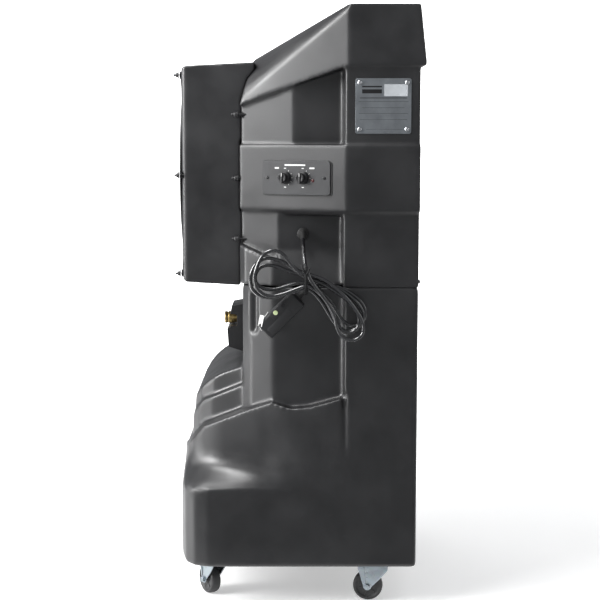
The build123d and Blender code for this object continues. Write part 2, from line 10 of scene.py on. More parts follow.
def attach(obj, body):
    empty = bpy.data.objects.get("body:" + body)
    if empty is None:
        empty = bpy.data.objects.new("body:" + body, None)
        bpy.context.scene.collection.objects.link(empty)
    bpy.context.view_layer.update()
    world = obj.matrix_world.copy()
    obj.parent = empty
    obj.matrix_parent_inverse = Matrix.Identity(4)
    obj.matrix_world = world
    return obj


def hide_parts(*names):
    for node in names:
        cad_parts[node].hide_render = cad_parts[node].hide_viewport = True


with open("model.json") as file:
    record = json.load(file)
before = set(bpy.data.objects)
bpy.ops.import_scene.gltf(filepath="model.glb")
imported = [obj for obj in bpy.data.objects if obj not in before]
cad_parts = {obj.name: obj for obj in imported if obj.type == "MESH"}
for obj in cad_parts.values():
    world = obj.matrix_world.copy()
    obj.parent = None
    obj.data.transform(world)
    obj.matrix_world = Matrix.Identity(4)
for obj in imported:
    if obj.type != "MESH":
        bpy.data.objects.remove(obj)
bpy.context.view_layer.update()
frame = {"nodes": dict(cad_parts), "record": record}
N = frame["nodes"]
SC = bpy.context.scene
random.seed(7)


def P(x, y, z):
    """Millimetres about the fan axis to metres in the row frame."""
    return Vector((x / 1000.0, (y + 7.0) / 1000.0, z / 1000.0))


# ------------------------------------------------------------------ camera
cam_d = bpy.data.cameras.new("camera")
cam_d.lens = 83.8
cam_d.sensor_width = 36.0
cam = bpy.data.objects.new("camera", cam_d)
SC.collection.objects.link(cam)
th = math.radians(6.825)
F = Vector((-math.cos(th), 0, -math.sin(th)))
R = Vector((0, 1, 0))
U = R.cross(F)
cam.matrix_world = Matrix(((R.x, U.x, -F.x, 3.365), (R.y, U.y, -F.y, 0.007), (R.z, U.z, -F.z, 1.05), (0, 0, 0, 1)))
SC.camera = cam


# ------------------------------------------------------------------ materials
def node_mat(name):
    m = bpy.data.materials.new(name)
    m.use_nodes = True
    t = m.node_tree
    return m, t, t.nodes["Principled BSDF"]


def noise(t, scale, detail=4.0, rough=0.5, vec=None, dims=None):
    n = t.nodes.new("ShaderNodeTexNoise")
    n.inputs["Scale"].default_value = scale
    n.inputs["Detail"].default_value = detail
    n.inputs["Roughness"].default_value = rough
    if vec is not None:
        t.links.new(vec, n.inputs["Vector"])
    return n


def ramp(t, src, stops):
    r = t.nodes.new("ShaderNodeValToRGB")
    e = r.color_ramp.elements
    e[0].position, e[0].color = stops[0][0], (*stops[0][1], 1)
    e[1].position, e[1].color = stops[-1][0], (*stops[-1][1], 1)
    for p, c in stops[1:-1]:
        k = e.new(p)
        k.color = (*c, 1)
    t.links.new(src, r.inputs[0])
    return r


def coords(t, scale=(1, 1, 1), rot=(0, 0, 0)):
    c = t.nodes.new("ShaderNodeTexCoord")
    m = t.nodes.new("ShaderNodeMapping")
    m.inputs["Scale"].default_value = scale
    m.inputs["Rotation"].default_value = rot
    t.links.new(c.outputs["Object"], m.inputs["Vector"])
    return m.outputs["Vector"]


def mixc(t, fac, a, b):
    m = t.nodes.new("ShaderNodeMix")
    m.data_type = "RGBA"
    if hasattr(fac, "is_output"):
        t.links.new(fac, m.inputs[0])
    else:
        m.inputs[0].default_value = fac
    for s, i in ((a, 6), (b, 7)):
        if hasattr(s, "is_output"):
            t.links.new(s, m.inputs[i])
        else:
            m.inputs[i].default_value = (*s, 1)
    return m.outputs[2]


def bump(t, b, layers):
    """Stacked bumps: (height socket, strength, distance)."""
    last = None
    for h, s, d in layers:
        n = t.nodes.new("ShaderNodeBump")
        n.inputs["Strength"].default_value = s
        n.inputs["Distance"].default_value = d
        t.links.new(h, n.inputs["Height"])
        if last is not None:
            t.links.new(last, n.inputs["Normal"])
        last = n.outputs["Normal"]
    t.links.new(last, b.inputs["Normal"])


def g3(v):
    return (v, v, v)


def plastic(name, col, r0=0.38, r1=0.55, grain=700.0, grain_s=0.12, wave_s=0.25, scuff=0.0, coat=0.0, edge=0.0, spec=0.5):
    m, t, b = node_mat(name)
    vec = coords(t)
    big = noise(t, 8.0, 4.0, 0.6, vec)
    fine = noise(t, grain, 2.0, 0.5, vec)
    wave = noise(t, 9.0, 1.0, 0.4, vec)
    lo = tuple(c * 0.82 for c in col)
    hi = tuple(min(1, c * 1.25 + 0.002) for c in col)
    c = ramp(t, big.outputs["Fac"], [(0.35, lo), (0.68, hi)]).outputs[0]
    if scuff > 0:
        sv = coords(t, (9.0, 14.0, 60.0), (0.5, 0.2, 0.4))
        sn = noise(t, 3.0, 6.0, 0.6, sv)
        sm = ramp(t, sn.outputs["Fac"], [(0.63, g3(0)), (0.74, g3(scuff))])
        c = mixc(t, sm.outputs[0], c, tuple(x * 3.2 + 0.02 for x in col))
        dn = noise(t, 2.2, 7.0, 0.65, vec)
        dm = ramp(t, dn.outputs["Fac"], [(0.52, g3(0)), (0.8, g3(scuff * 0.8))])
        c = mixc(t, dm.outputs[0], c, tuple(x * 2.2 + 0.015 for x in col))
    if edge > 0:
        ge = t.nodes.new("ShaderNodeNewGeometry")
        er = ramp(t, ge.outputs["Pointiness"], [(0.52, g3(0)), (0.6, g3(edge))])
        c = mixc(t, er.outputs[0], c, tuple(x * 2.6 + 0.03 for x in col))
    t.links.new(c, b.inputs["Base Color"])
    rr = ramp(t, big.outputs["Fac"], [(0.3, g3(r0)), (0.72, g3(r1))])
    t.links.new(rr.outputs[0], b.inputs["Roughness"])
    b.inputs["Specular IOR Level"].default_value = spec
    b.inputs["Coat Weight"].default_value = coat
    b.inputs["Coat Roughness"].default_value = 0.16
    bump(t, b, [(wave.outputs["Fac"], wave_s, 0.004), (fine.outputs["Fac"], grain_s, 0.0004)])
    return m


def metal(name, col, r0=0.22, r1=0.38, brush=None, spangle=0.0, dirt=0.0, aniso=0.0):
    m, t, b = node_mat(name)
    b.inputs["Metallic"].default_value = 1.0
    vec = coords(t, brush or (1, 1, 1))
    n = noise(t, 180.0 if brush else 60.0, 4.0, 0.6, vec)
    big = noise(t, 30.0, 4.0, 0.6, coords(t))
    c = ramp(t, big.outputs["Fac"], [(0.3, tuple(x * 0.8 for x in col)), (0.7, tuple(min(1, x * 1.12) for x in col))]).outputs[0]
    if spangle:
        v = t.nodes.new("ShaderNodeTexVoronoi")
        v.inputs["Scale"].default_value = 160.0
        t.links.new(coords(t), v.inputs["Vector"])
        c = mixc(t, spangle, c, v.outputs["Color"])
        c = mixc(t, 0.75, c, col)
    if dirt:
        d = ramp(t, noise(t, 45.0, 8.0, 0.7, coords(t)).outputs["Fac"], [(0.55, g3(0)), (0.75, g3(dirt))])
        c = mixc(t, d.outputs[0], c, (0.10, 0.07, 0.045))
    t.links.new(c, b.inputs["Base Color"])
    rr = ramp(t, n.outputs["Fac"], [(0.3, g3(r0)), (0.7, g3(r1))])
    t.links.new(rr.outputs[0], b.inputs["Roughness"])
    b.inputs["Anisotropic"].default_value = aniso
    bump(t, b, [(n.outputs["Fac"], 0.15, 0.0004)])
    return m


M = {}
M["pe"] = plastic("moulded_polyethylene", (0.0085, 0.0085, 0.0094), 0.31, 0.50, 900.0, 0.14, 0.22, scuff=0.15, edge=0.06, spec=0.66)
M["abs"] = plastic("black_abs", (0.012, 0.012, 0.013), 0.35, 0.5, 1500.0, 0.15, 0.05, edge=0.1)
M["coat"] = plastic("powder_coated_wire", (0.012, 0.012, 0.013), 0.3, 0.42, 2500.0, 0.3, 0.0)
M["enamel"] = plastic("motor_enamel", (0.02, 0.022, 0.026), 0.28, 0.4, 1800.0, 0.25, 0.02)
M["rubber"] = plastic("black_rubber", (0.014, 0.014, 0.014), 0.5, 0.7, 1600.0, 0.3, 0.02)
M["jacket"] = plastic("cord_jacket", (0.0055, 0.0055, 0.0065), 0.10, 0.17, 900.0, 0.06, 0.03, coat=1.0, spec=0.8)
M["gfci"] = plastic("gfci_shell", (0.011, 0.011, 0.012), 0.35, 0.48, 2600.0, 0.45, 0.02, edge=0.12)
M["panel"] = plastic("panel_face", (0.014, 0.0145, 0.016), 0.30, 0.40, 2200.0, 0.3, 0.02)
M["knob"] = plastic("knob_plastic", (0.007, 0.007, 0.008), 0.42, 0.52, 1500.0, 0.08, 0.0, spec=0.4)
M["tiewrap"] = plastic("tie_wrap", (0.005, 0.005, 0.0055), 0.5, 0.65, 1500.0, 0.08, 0.02, spec=0.3)
M["white"] = plastic("white_print", (0.58, 0.58, 0.57), 0.4, 0.55, 900.0, 0.05, 0.0)
M["pvc"] = plastic("white_pvc", (0.62, 0.62, 0.58), 0.35, 0.5, 700.0, 0.08, 0.02, scuff=0.1)
M["green"] = plastic("button_green", (0.48, 0.56, 0.30), 0.3, 0.42, 900.0, 0.06, 0.0, coat=0.3)
M["red"] = plastic("lamp_red", (0.05, 0.005, 0.005), 0.12, 0.2, 400.0, 0.03, 0.0, coat=0.6)
M["tread"] = plastic("wheel_rubber", (0.016, 0.016, 0.017), 0.42, 0.6, 900.0, 0.3, 0.05, scuff=0.25, edge=0.1)
M["wheelhub"] = plastic("wheel_hub", (0.020, 0.020, 0.021), 0.35, 0.5, 1300.0, 0.2, 0.02)
M["zinc"] = metal("bright_zinc", (0.30, 0.34, 0.37), 0.26, 0.44, spangle=0.10, dirt=0.45)
M["steel"] = metal("bright_steel", (0.66, 0.67, 0.69), 0.15, 0.3)
M["alu"] = metal("mill_aluminium", (0.62, 0.63, 0.65), 0.28, 0.42, brush=(1, 1, 12), aniso=0.3)
M["brass"] = metal("machined_brass", (0.70, 0.52, 0.22), 0.2, 0.36, brush=(1, 20, 1), dirt=0.25)
M["plate"] = metal("brushed_plate", (0.30, 0.32, 0.34), 0.34, 0.46, brush=(1, 1, 90), aniso=0.5)


def pad_material():
    m, t, b = node_mat("cellulose")
    vec = coords(t)
    n = noise(t, 60.0, 5.0, 0.6, vec)
    c = ramp(t, n.outputs["Fac"], [(0.3, (0.20, 0.12, 0.055)), (0.7, (0.42, 0.28, 0.14))])
    t.links.new(c.outputs[0], b.inputs["Base Color"])
    b.inputs["Roughness"].default_value = 0.9
    f = noise(t, 900.0, 3.0, 0.6, vec)
    bump(t, b, [(f.outputs["Fac"], 0.5, 0.0005)])
    return m


M["pad"] = pad_material()
SLOTM = {"black_pe": "pe", "black_wire": "coat", "motor_enamel": "enamel", "zinc_steel": "zinc", "bright_steel": "steel", "aluminium": "alu",
         "cellulose_pad": "pad", "black_plastic": "abs", "white_pvc": "pvc", "black_rubber": "rubber", "float_plastic": "abs", "brass": "brass",
         "panel_grey": "panel", "knob_black": "knob", "lamp_red": "red", "cord_jacket": "jacket", "gfci_black": "gfci", "button_green": "green",
         "plate_aluminium": "plate", "wheel_rubber": "tread"}
NODE_SLOT = {s["node"]: s["material_slot"] for s in frame["record"]["subparts"]}
for n, o in N.items():
    o.data.materials.clear()
    o.data.materials.append(M[SLOTM[NODE_SLOT[n]]])


# ------------------------------------------------------------------ mesh helpers
def link(name, me, mat, body="root", smooth=True):
    o = bpy.data.objects.new(name, me)
    SC.collection.objects.link(o)
    if mat is not None:
        me.materials.append(M[mat])
    if smooth:
        for p in me.polygons:
            p.use_smooth = True
    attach(o, body)
    return o


def from_bm(name, bm, mat, body="root", smooth=True):
    me = bpy.data.meshes.new(name)
    bmesh.ops.recalc_face_normals(bm, faces=bm.faces)
    bm.to_mesh(me)
    bm.free()
    return link(name, me, mat, body, smooth)


def axes(direction):
    d = Vector(direction).normalized()
    q = Vector((0, 0, 1)).rotation_difference(d)
    return q.to_matrix().to_4x4()


def lathe(bm, prof, origin, direction, seg=48, flute=None):
    """Turned form: prof is (radius, height) in metres from one end to the other, closed onto the axis where radius is 0."""
    m = Matrix.Translation(origin) @ axes(direction)
    rings = []
    for r, h in prof:
        if r <= 1e-7:
            rings.append([bm.verts.new(m @ Vector((0, 0, h)))])
        else:
            row = []
            for i in range(seg):
                a = 2 * math.pi * i / seg
                k = r
                if flute and flute[0] <= h <= flute[1]:
                    k = r * (1 + flute[2] * math.cos(flute[3] * a))
                row.append(bm.verts.new(m @ Vector((k * math.cos(a), k * math.sin(a), h))))
            rings.append(row)
    for a, b in zip(rings, rings[1:]):
        for i in range(seg):
            j = (i + 1) % seg
            if len(a) == 1 and len(b) == 1:
                continue
            if len(a) == 1:
                bm.faces.new((a[0], b[i], b[j]))
            elif len(b) == 1:
                bm.faces.new((a[i], b[0], a[j]))
            else:
                bm.faces.new((a[i], b[i], b[j], a[j]))
    return bm


def rbox(bm, center, size, mat3=None, bev=0.001, seg=3):
    """Box with rounded edges."""
    b2 = bmesh.new()
    bmesh.ops.create_cube(b2, size=1.0)
    for v in b2.verts:
        v.co = Vector((v.co.x * size[0], v.co.y * size[1], v.co.z * size[2]))
    if bev > 0:
        bmesh.ops.bevel(b2, geom=list(b2.edges), offset=bev, segments=seg, profile=0.5, affect="EDGES")
    tm = Matrix.Translation(center) @ ((mat3 or Matrix.Identity(3)).to_4x4())
    b2.transform(tm)
    me = bpy.data.meshes.new("tmp")
    b2.to_mesh(me)
    b2.free()
    bm.from_mesh(me)
    bpy.data.meshes.remove(me)
    return bm


def autosmooth(o, deg=35):
    o.data.shade_smooth() if hasattr(o.data, "shade_smooth") else None
    mod = o.modifiers.new("edges", "EDGE_SPLIT")
    mod.split_angle = math.radians(deg)
    mod.use_edge_sharp = False


def wire_ring(bm, center, radius, wire, seg=120, ws=8):
    """Round wire bent to a ring whose axis is Y."""
    rows = []
    for i in range(seg):
        a = 2 * math.pi * i / seg
        c = center + Vector((radius * math.cos(a), 0, radius * math.sin(a)))
        rad = Vector((math.cos(a), 0, math.sin(a)))
        rows.append([bm.verts.new(c + rad * wire * math.cos(2 * math.pi * k / ws) + Vector((0, 1, 0)) * wire * math.sin(2 * math.pi * k / ws)) for k in range(ws)])
    for i in range(seg):
        for k in range(ws):
            bm.faces.new((rows[i][k], rows[(i + 1) % seg][k], rows[(i + 1) % seg][(k + 1) % ws], rows[i][(k + 1) % ws]))


def wire_path(bm, pts, wire, ws=8):
    rows = []
    up = None
    for i, p in enumerate(pts):
        a = pts[max(0, i - 1)]
        b = pts[min(len(pts) - 1, i + 1)]
        d = (b - a).normalized()
        if up is None:
            up = d.orthogonal().normalized()
        up = (up - d * up.dot(d)).normalized()
        s = d.cross(up)
        rows.append([bm.verts.new(p + up * wire * math.cos(2 * math.pi * k / ws) + s * wire * math.sin(2 * math.pi * k / ws)) for k in range(ws)])
    for a, b in zip(rows, rows[1:]):
        for k in range(ws):
            bm.faces.new((a[k], b[k], b[(k + 1) % ws], a[(k + 1) % ws]))
    bm.faces.new(rows[0])
    bm.faces.new(rows[-1])


def curve_x(pts, y):
    """Smooth half width at y through an outline given as (half width, y), front end last."""
    for i in range(len(pts) - 1):
        (x1, y1), (x2, y2) = pts[i], pts[i + 1]
        if y1 >= y >= y2:
            x0, y0 = pts[max(0, i - 1)]
            x3, y3 = pts[min(len(pts) - 1, i + 2)]
            m1 = (x2 - x0) / (y2 - y0)
            m2 = (x3 - x1) / (y3 - y1)
            h = y2 - y1
            t = (y - y1) / h
            return ((2 * t ** 3 - 3 * t * t + 1) * x1 + (t ** 3 - 2 * t * t + t) * h * m1 + (3 * t * t - 2 * t ** 3) * x2 + (t ** 3 - t * t) * h * m2,
                    x1 + (x2 - x1) * t)
    return None


def strip(b2, sections, thick=7.0):
    """Closed wall strip lofted through sections of (z, [(x, y), ...]); its inside is set back by thick."""
    for sgn in (1, -1):
        outer, inner = [], []
        for z, pts in sections:
            o_, i_ = [], []
            for k, (x, y) in enumerate(pts):
                a, c = pts[max(0, k - 1)], pts[min(len(pts) - 1, k + 1)]
                d = Vector((c[0] - a[0], c[1] - a[1])).normalized()
                n = Vector((-d.y, d.x))
                if n.x < 0 and n.y > 0:
                    n = -n
                if n.x < 0:
                    n = -n
                o_.append(b2.verts.new(P(sgn * x, y, z)))
                i_.append(b2.verts.new(P(sgn * (x - n.x * thick), y - n.y * thick, z)))
            outer.append(o_)
            inner.append(i_)
        for g in (outer, inner):
            for a, c in zip(g, g[1:]):
                for k in range(len(a) - 1):
                    b2.faces.new((a[k], a[k + 1], c[k + 1], c[k]))
        for o_, i_ in ((outer[0], inner[0]), (outer[-1], inner[-1])):
            for k in range(len(o_) - 1):
                b2.faces.new((o_[k], o_[k + 1], i_[k + 1], i_[k]))
        for k in (0, -1):
            for r in range(len(outer) - 1):
                b2.faces.new((outer[r][k], outer[r + 1][k], inner[r + 1][k], inner[r][k]))


def near_line(pts, y, z):
    """Distance from (y, z) to a run of straight lines, for arrays."""
    best = np.full(y.shape, 1e9)
    for (y0, z0), (y1, z1) in zip(pts, pts[1:]):
        dy, dz = y1 - y0, z1 - z0
        t = np.clip(((y - y0) * dy + (z - z0) * dz) / (dy * dy + dz * dz), 0, 1)
        best = np.minimum(best, np.hypot(y - y0 - t * dy, z - z0 - t * dz))
    return best


def soften(node, name, mat, voxel, steps, keep=0.35, fill=(), strips=(), crisp=None, round_out=None):
    """Moulded look for a CAD shell: a remeshed copy with every edge rounded over, as the tool leaves it."""
    me = N[node].data.copy()
    if fill:
        b2 = bmesh.new()
        b2.from_mesh(me)
        for c, size in fill:
            rbox(b2, P(*c), tuple(v / 1000 for v in size), None, 0.0, 1)
        for sec in strips:
            strip(b2, sec)
        b2.to_mesh(me)
        b2.free()
    o = bpy.data.objects.new(name, me)
    SC.collection.objects.link(o)
    w = o.modifiers.new("weld", "WELD")
    w.merge_threshold = 0.00002
    r = o.modifiers.new("remesh", "REMESH")
    r.mode = "VOXEL"
    r.voxel_size = voxel
    r.use_smooth_shade = True
    if crisp or round_out:
        bpy.context.view_layer.update()
        dg = bpy.context.evaluated_depsgraph_get()
        vox = bpy.data.meshes.new_from_object(o.evaluated_get(dg), preserve_all_data_layers=False, depsgraph=dg)
        o.modifiers.clear()
        o.data = vox
        co = np.empty(len(vox.vertices) * 3)
        vox.vertices.foreach_get("co", co)
        co = co.reshape(-1, 3) * 1000.0
        co[:, 1] -= 7.0
        if round_out:
            co = round_out(co)
            back = co.copy()
            back[:, 1] += 7.0
            vox.vertices.foreach_set("co", (back / 1000.0).ravel())
            vox.update()
        if crisp:
            wt = crisp(co)
            vg = o.vertex_groups.new(name="soft")
            q_ = np.round(wt * 10).astype(int)
            for lv in range(0, 11):
                idx = np.nonzero(q_ == lv)[0].tolist()
                if idx:
                    vg.add(idx, lv / 10.0, "REPLACE")
    s = o.modifiers.new("smooth", "SMOOTH")
    if crisp:
        s.vertex_group = "soft"
    s.factor = 0.5
    s.iterations = steps
    if keep < 1:
        d = o.modifiers.new("thin", "DECIMATE")
        d.ratio = keep
    bpy.context.view_layer.update()
    dg = bpy.context.evaluated_depsgraph_get()
    out = bpy.data.meshes.new_from_object(o.evaluated_get(dg), preserve_all_data_layers=False, depsgraph=dg)
    bpy.data.objects.remove(o)
    out.materials.clear()
    q = link(name, out, mat, "root")
    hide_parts(node)
    print("soften", node, len(out.polygons))
    return q


def top_crisp(co):
    """The two edges of the control band stay tighter than the rest."""
    w = np.ones(len(co))
    for zb in (1026.0, 882.0):
        w = np.minimum(w, np.clip((np.abs(co[:, 2] - zb) - 14.0) / 8.0, 0.0, 1.0) * 0.55 + 0.45)
    return w


shell_top = soften("upper_housing", "housing_shell", "pe", 0.0034, 7, 0.4, crisp=top_crisp)
CUP = [(362, 120), (361, 60), (352, -20), (335, -80), (305, -165), (285, -205), (255, -240), (215, -258), (150, -266)]
CLOW = [(361, 120), (360.9, 60), (360.8, -20), (360.7, -80), (360.5, -200), (350, -236), (325, -256), (285, -265), (220, -268)]
TOPS = [[(-247, 356), (-217, 395), (-126, 437), (-63, 461.5), (-42, 455), (-21, 449), (20, 453), (90, 473)],
        [(-243.5, 413), (-233, 428), (-220.5, 445), (-131, 487)],
        [(-240, 447), (-228, 467), (-214, 483), (-198, 496), (-178, 508), (-159, 516), (-136, 525)]]


def through(pts, n):
    """Points of a smooth curve through pts, n to each span."""
    out = []
    for i in range(len(pts) - 1):
        p0, p1, p2, p3 = pts[max(0, i - 1)], pts[i], pts[i + 1], pts[min(len(pts) - 1, i + 2)]
        for k in range(n):
            t = k / n
            out.append(tuple(0.5 * (2 * p1[c] + (p2[c] - p0[c]) * t + (2 * p0[c] - 5 * p1[c] + 4 * p2[c] - p3[c]) * t * t
                                    + (3 * p1[c] - p0[c] - 3 * p2[c] + p3[c]) * t ** 3) for c in (0, 1)))
    return out + [tuple(pts[-1])]


def shoulder_at(f):
    return [(min(a[0] + (b[0] - a[0]) * f, 361.5), a[1] + (b[1] - a[1]) * f) for a, b in zip(through(CLOW, 5), through(CUP, 5))]


shoulder = [(z, shoulder_at(f)) for z, f in ((256, 0.0), (263, 0.02), (270, 0.08), (276, 0.17), (282, 0.29), (288, 0.43), (294, 0.56), (300, 0.69), (306, 0.80), (314, 0.89), (324, 0.96), (336, 1.0))]
UPRIGHT = 97.0


def tank_crisp(co):
    x, y, z = np.abs(co[:, 0]), co[:, 1], co[:, 2]
    w = np.ones(len(co))
    for line in TOPS:
        d = near_line(line, y, z)
        w = np.minimum(w, np.where(x > 140, np.clip((d - 6.0) / 9.0, 0.0, 1.0) * 0.8 + 0.2, 1.0))
    w = np.minimum(w, np.where((x > 270) & (y < -78) & (y > -132) & (z > 596) & (z < 716), 0.3, 1.0))
    d = np.hypot(x - 362, y - UPRIGHT)
    w = np.minimum(w, np.where((z > 330) & (z < 720), np.clip((d - 12.0) / 12.0, 0.0, 1.0) * 0.7 + 0.3, 1.0))
    return w


def tank_round(co):
    """The tapered sides follow one smooth curve, not the flats between its points."""
    for i in np.nonzero((co[:, 2] > 302) & (co[:, 2] < 476) & (np.abs(co[:, 0]) > 210) & (co[:, 1] < 118) & (co[:, 1] > -256))[0]:
        x, y = abs(co[i, 0]), co[i, 1]
        r = curve_x(CUP, y)
        if r and abs(x - r[1]) < 3.2:
            co[i, 0] += math.copysign(max(-1.5, min(3.0, r[0] - r[1])), co[i, 0])
    # the crease below the waist corner is pressed in more firmly
    z = co[:, 2]
    dy = co[:, 1] - (96 + 3 * (486 - z) / 148.0)
    deep = 3.6 * np.clip((z - 336) / 45.0, 0, 1) * np.clip((500 - z) / 20.0, 0, 1) * np.exp(-(dy / 4.6) ** 2)
    co[:, 0] -= np.where((np.abs(co[:, 0]) > 346) & (np.abs(dy) < 16), np.sign(co[:, 0]) * deep, 0.0)
    return co


shell_low = soften("reservoir_tank", "reservoir_shell", "pe", 0.0038, 24, 0.45, fill=[((288.5, -100, 656), (11, 24, 104)), ((-288.5, -100, 656), (11, 24, 104))],
                   strips=[shoulder], crisp=tank_crisp, round_out=tank_round)
shell_box = soften("fan_shroud", "fan_box_shell", "pe", 0.0026, 5, 0.35)
bm = bmesh.new()
ol = [(-128, 646), (-163, 640), (-166, 623), (-166, 621), (-152, 619), (-150.5, 617), (-150.5, 594), (-152, 592), (-166, 590), (-166, 589), (-174, 585), (-171, 542), (-139, 531.5), (-128, 533)]
fr = [bm.verts.new(P(-58, y, z)) for y, z in ol]
bk = [bm.verts.new(P(58, y, z)) for y, z in ol]
bm.faces.new(fr)
bm.faces.new(bk)
for i in range(len(ol)):
    j = (i + 1) % len(ol)
    bm.faces.new((fr[i], fr[j], bk[j], bk[i]))
shell_cov = from_bm("inlet_cover_shell", bm, "pe", "root", smooth=False)
bv = shell_cov.modifiers.new("edge", "BEVEL")
bv.width = 0.0028
bv.segments = 4
bv.limit_method = "ANGLE"
bv.angle_limit = math.radians(18)
bv.use_clamp_overlap = True
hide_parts("inlet_cover")

# ------------------------------------------------------------------ wire guard
FZ = 956.0
bm = bmesh.new()


def gy(r):
    return -272.5 + 5.5 * (r / 228.0) ** 2


r = 228.0
first = True
while r > 20:
    wire_ring(bm, P(0, gy(r) + (0 if first else -1.0), FZ), r / 1000.0, 0.0026 if first else 0.0014, 144 if r > 90 else 72, 10 if first else 8)
    first = False
    r -= 13.6
for i in range(8):
    a = math.radians(45 * i)
    ends = 240 if i % 2 == 0 else 318
    pts = []
    for k in range(13):
        rr = 20 + (ends - 20) * k / 12.0
        pts.append(P(rr * math.cos(a), gy(min(rr, 228)) + 2.4, FZ + rr * math.sin(a)))
    wire_path(bm, pts, 0.0024)
    e_ = 236 if i % 2 == 0 else 313.2
    lathe(bm, [(0.0032, -0.0012), (0.0078, -0.0012), (0.0082, 0.0), (0.0078, 0.0012), (0.0032, 0.0012), (0.0032, -0.0012)], P(e_ * math.cos(a), -266.2, FZ + e_ * math.sin(a)), (0, -1, 0), 28)
guard = from_bm("wire_guard", bm, "coat", "root")
bm = bmesh.new()
lathe(bm, [(0, 0.0), (0.0235, 0.0), (0.0245, 0.001), (0.0245, 0.0026), (0.0225, 0.0042), (0.012, 0.0052), (0, 0.0056)], P(0, -270.6, FZ), (0, -1, 0), 64)
lathe(bm, [(0.0155, 0.0040), (0.0165, 0.0060), (0.0175, 0.0040)], P(0, -270.9, FZ), (0, -1, 0), 64)
hubcap = from_bm("guard_centre_disc", bm, "coat", "root")
autosmooth(hubcap, 30)
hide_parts("fan_guard")

# guard screws with domed nuts and washers, shroud bolts
bm = bmesh.new()
for gx, gz in ((0, 236), (236, 0), (0, -236), (-236, 0), (221.5, 221.5), (-221.5, 221.5), (221.5, -221.5), (-221.5, -221.5)):
    c = P(gx, -264, FZ + gz)
    lathe(bm, [(0, 0.0), (0.0085, 0.0), (0.0088, 0.0006), (0.0085, 0.0014), (0.0055, 0.0016)], c + Vector((0, -0.0060, 0)), (0, -1, 0), 32)
    lathe(bm, [(0.0056, 0), (0.0058, 0.0004), (0.0058, 0.0042), (0.0050, 0.0052), (0.0027, 0.0052), (0.0027, 0.0095), (0.0022, 0.0100), (0, 0.0101)], c + Vector((0, -0.0068, 0)), (0, -1, 0), 6)
    lathe(bm, [(0, 0.0), (0.0025, 0.0), (0.0025, 0.012)], c + Vector((0, 0.0075, 0)), (0, -1, 0), 16)
gs = from_bm("guard_nuts", bm, "coat", "root", smooth=False)
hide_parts("guard_screws")
bm = bmesh.new()
bt = bmesh.new()
for z in (1090, 950, 815):
    for s in (-1, 1):
        c = P(s * 254, -136, z)
        lathe(bm, [(0, 0), (0.0068, 0), (0.0072, 0.0008), (0.0072, 0.002), (0.0060, 0.0026), (0.0060, 0.0085), (0.0050, 0.0100), (0.0034, 0.0104)], c, (0, -1, 0), 24)
        lathe(bm, [(0, 0), (0.003, 0), (0.003, 0.026)], P(s * 252.5, -110, z), (s * 0.06, -1, 0), 16)
        lathe(bt, [(0.0034, 0.0100), (0.0034, 0.0144), (0.0028, 0.0158), (0.0, 0.0160)], c, (0, -1, 0), 20)
sb = from_bm("shroud_bolt_heads", bm, "coat", "root")
autosmooth(sb, 30)
sbt = from_bm("shroud_bolt_tips", bt, "knob", "root")
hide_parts("shroud_bolts")

# ------------------------------------------------------------------ fan blades, curved and twisted
bm = bmesh.new()
nr, nc = 14, 12
for k in range(5):
    a0 = math.radians(72 * k)
    ca, sa = math.cos(a0), math.sin(a0)
    rows = []
    for i in range(nr + 1):
        f = i / nr
        rad = 40 + 161.5 * f
        half = 34 + 24 * math.sin(math.pi * min(1, f * 0.9 + 0.08)) + 8 * f
        if i == nr:
            half -= 6
        tw = math.radians(36 - 17 * f)
        row = []
        for j in range(nc + 1):
            c = -1 + 2 * j / nc
            cam_h = 6.0 * (1 - c * c)
            u = c * half
            zt = u * math.cos(tw) + cam_h * math.sin(tw)
            yt = -u * math.sin(tw) + cam_h * math.cos(tw)
            lim = math.sqrt(max(1.0, 202.0 ** 2 - zt * zt))
            x = min(rad, lim)
            X = x * ca - zt * sa
            Z = x * sa + zt * ca
            row.append(bm.verts.new(P(X, -192 + yt, FZ + Z)))
        rows.append(row)
    for i in range(nr):
        for j in range(nc):
            bm.faces.new((rows[i][j], rows[i + 1][j], rows[i + 1][j + 1], rows[i][j + 1]))
blades = from_bm("fan_blade_set", bm, "alu", "fan")
sol = blades.modifiers.new("thick", "SOLIDIFY")
sol.thickness = 0.0016
sol.offset = 0
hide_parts("fan_blades")
bm = bmesh.new()
lathe(bm, [(0.0061, 0.0), (0.030, 0.0), (0.034, 0.003), (0.034, 0.030), (0.030, 0.037), (0.018, 0.040), (0.0061, 0.040)], P(0, -172, FZ), (0, -1, 0), 56)
lathe(bm, [(0.0345, 0.0155), (0.061, 0.0155), (0.062, 0.0165), (0.061, 0.0175), (0.0345, 0.0175)], P(0, -172, FZ), (0, -1, 0), 56)
for k in range(5):
    for q in (-1, 1):
        a = math.radians(72 * k + q * 9)
        lathe(bm, [(0.0040, 0.0), (0.0038, 0.002), (0.0022, 0.0032), (0, 0.0034)], P(52 * math.cos(a), -189.5, FZ + 52 * math.sin(a)), (0, -1, 0), 14)
hub = from_bm("fan_hub_casting", bm, "alu", "fan")
autosmooth(hub, 30)
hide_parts("fan_hub")

